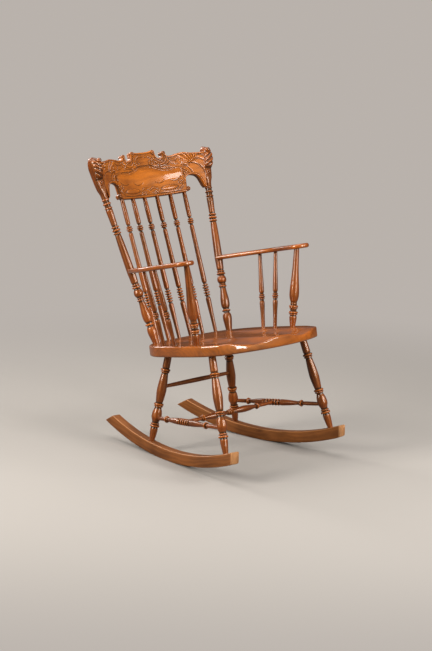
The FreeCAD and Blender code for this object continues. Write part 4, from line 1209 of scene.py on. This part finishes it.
def paleFloor():
    # Near the chair the floor is lit by the lamps and takes its shadow. Away from it, and only as
    # seen by the camera, it turns into an evenly bright backdrop. It throws back less light than
    # it shows, so that undersides stay dark.
    material = bpy.data.materials.new("paleFloor")
    material.use_nodes = True
    nodes, links = material.node_tree.nodes, material.node_tree.links
    shader = nodes["Principled BSDF"]
    shader.inputs["Roughness"].default_value = 0.9
    shader.inputs["Specular IOR Level"].default_value = 0.1
    places = nodes.new("ShaderNodeTexCoord")
    length = nodes.new("ShaderNodeVectorMath")
    length.operation = "LENGTH"
    links.new(places.outputs["Object"], length.inputs[0])
    far = nodes.new("ShaderNodeMapRange")
    far.interpolation_type = "SMOOTHSTEP"
    far.inputs["From Min"].default_value = studio["litWithin"]
    far.inputs["From Max"].default_value = studio["evenBeyond"]
    links.new(length.outputs["Value"], far.inputs["Value"])
    path = nodes.new("ShaderNodeLightPath")
    tone = nodes.new("ShaderNodeMix")
    tone.data_type = "RGBA"
    tone.inputs["A"].default_value = (*(studio["bounce"] * np.array(studio["floor"])), 1.0)
    tone.inputs["B"].default_value = (*studio["floor"], 1.0)
    links.new(path.outputs["Is Camera Ray"], tone.inputs["Factor"])
    links.new(tone.outputs["Result"], shader.inputs["Base Color"])
    share = nodes.new("ShaderNodeMath")
    share.operation = "MULTIPLY"
    links.new(far.outputs["Result"], share.inputs[0])
    links.new(path.outputs["Is Camera Ray"], share.inputs[1])
    glow = nodes.new("ShaderNodeEmission")
    glow.inputs["Color"].default_value = (*studio["backdrop"], 1.0)
    mix = nodes.new("ShaderNodeMixShader")
    links.new(share.outputs[0], mix.inputs[0])
    links.new(shader.outputs["BSDF"], mix.inputs[1])
    links.new(glow.outputs["Emission"], mix.inputs[2])
    links.new(mix.outputs["Shader"], nodes["Material Output"].inputs["Surface"])
    return material


def makeFloor():
    # A disc whose rows are circles, each wider than the last by the same ratio, in metres
    rows, columns = 24, 96
    nearest, farthest = 0.3, 60.0
    radius = np.concatenate([[0.0], np.geomspace(nearest, farthest, rows - 1)])[:, None]
    turn = np.linspace(0, 2 * pi, columns, endpoint=False)[None, :]
    points = np.stack([radius * np.cos(turn), radius * np.sin(turn), 0 * radius * turn], axis=-1)
    index = np.arange(rows * columns).reshape(rows, columns)
    index = np.concatenate([index, index[:, :1]], axis=1)
    quads = np.stack([index[:-1, :-1], index[1:, :-1], index[1:, 1:], index[:-1, 1:]], axis=-1)
    mesh = bpy.data.meshes.new("floor")
    mesh.from_pydata(points.reshape(-1, 3).tolist(), [], quads.reshape(-1, 4).tolist())
    mesh.materials.append(paleFloor())
    floor = bpy.data.objects.new("floor", mesh)
    bpy.context.scene.collection.objects.link(floor)


def makeWorld():
    # An even, faint light from all round
    world = bpy.data.worlds.new("studio")
    bpy.context.scene.world = world
    world.use_nodes = True
    shade = world.node_tree.nodes["Background"]
    shade.inputs["Color"].default_value = (*studio["world"], 1.0)
    shade.inputs["Strength"].default_value = studio["worldStrength"]


# The photograph's viewing angle in degrees, its distance and shift in metres and its lens in millimetres
view = {"azimuth": -44.0743, "elevation": 12.081, "roll": 0.8581, "distance": 6.4192,
        "aside": 0.0072, "height": 0.4127, "lens": 105.13}


def viewAxes():
    # The camera's right, its up and the way back to it, from its azimuth and elevation
    az, el = radians(view["azimuth"]), radians(view["elevation"])
    back = np.array([sin(az) * cos(el), -cos(az) * cos(el), sin(el)])
    right = np.array([cos(az), sin(az), 0.0])
    return right, np.cross(back, right), back


def makeCamera():
    # It stands on the way back from the chair, moved along its right and up, and rolled about its view
    right, up, back = viewAxes()
    roll = radians(view["roll"])
    place = right * view["aside"] + up * view["height"] + back * view["distance"]
    turnedRight = right * cos(roll) + up * sin(roll)
    turnedUp = up * cos(roll) - right * sin(roll)
    camera = bpy.data.objects.new("camera", bpy.data.cameras.new("camera"))
    camera.data.lens = view["lens"]
    camera.data.sensor_width = 36.0
    camera.data.clip_end = 200.0
    matrix = np.eye(4)
    matrix[:3, 0], matrix[:3, 1], matrix[:3, 2], matrix[:3, 3] = turnedRight, turnedUp, back, place
    camera.matrix_world = Matrix(matrix.tolist())
    bpy.context.scene.collection.objects.link(camera)
    bpy.context.scene.camera = camera


# Soft boxes: places are right, towards the camera and up from the chair's middle, in metres
softBoxes = {
    "key": dict(place=(-2.4, 1.5, 1.8), size=(0.9, 1.8), power=150.0, colour=(1.0, 0.97, 0.93)),
    "side": dict(place=(1.9, 2.0, 1.6), size=(0.45, 1.9), power=85.0, colour=(1.0, 0.98, 0.96)),
    "top": dict(place=(-0.3, -0.3, 3.2), size=(2.6, 2.6), power=80.0, colour=(1.0, 0.99, 0.98)),
    "low": dict(place=(2.3, 0.7, 1.45), size=(0.8, 0.8), power=40.0, colour=(1.0, 0.98, 0.95)),
    "rim": dict(place=(-2.2, -2.0, 1.9), size=(0.6, 1.9), power=60.0, colour=(1.0, 0.98, 0.96)),
}


def makeLights():
    # Each soft box is an area lamp, placed from the camera's right and the level way to the camera,
    # and turned to face the seat
    right, up, back = viewAxes()
    level = unit(np.array([back[0], back[1], 0.0]))
    for name, box in softBoxes.items():
        lamp = bpy.data.lights.new(name, "AREA")
        lamp.shape = "RECTANGLE"
        lamp.size, lamp.size_y = box["size"]
        lamp.energy = box["power"]
        lamp.color = box["colour"]
        place = right * box["place"][0] + level * box["place"][1] + np.array([0, 0, box["place"][2]])
        facing = unit(place - np.array([0.0, 0.0, 0.5]))  # each box is aimed at the seat
        aside = unit(np.cross([0.0, 0.0, 1.0], facing))
        matrix = np.eye(4)
        matrix[:3, 0], matrix[:3, 1], matrix[:3, 2] = aside, np.cross(facing, aside), facing
        matrix[:3, 3] = place
        lampObject = bpy.data.objects.new(name, lamp)
        lampObject.matrix_world = Matrix(matrix.tolist())
        bpy.context.scene.collection.objects.link(lampObject)


makeFloor()
makeWorld()
makeLights()
makeCamera()
bpy.context.scene.view_settings.view_transform = "Standard"
print("studio set")

bpy.context.view_layer.update()
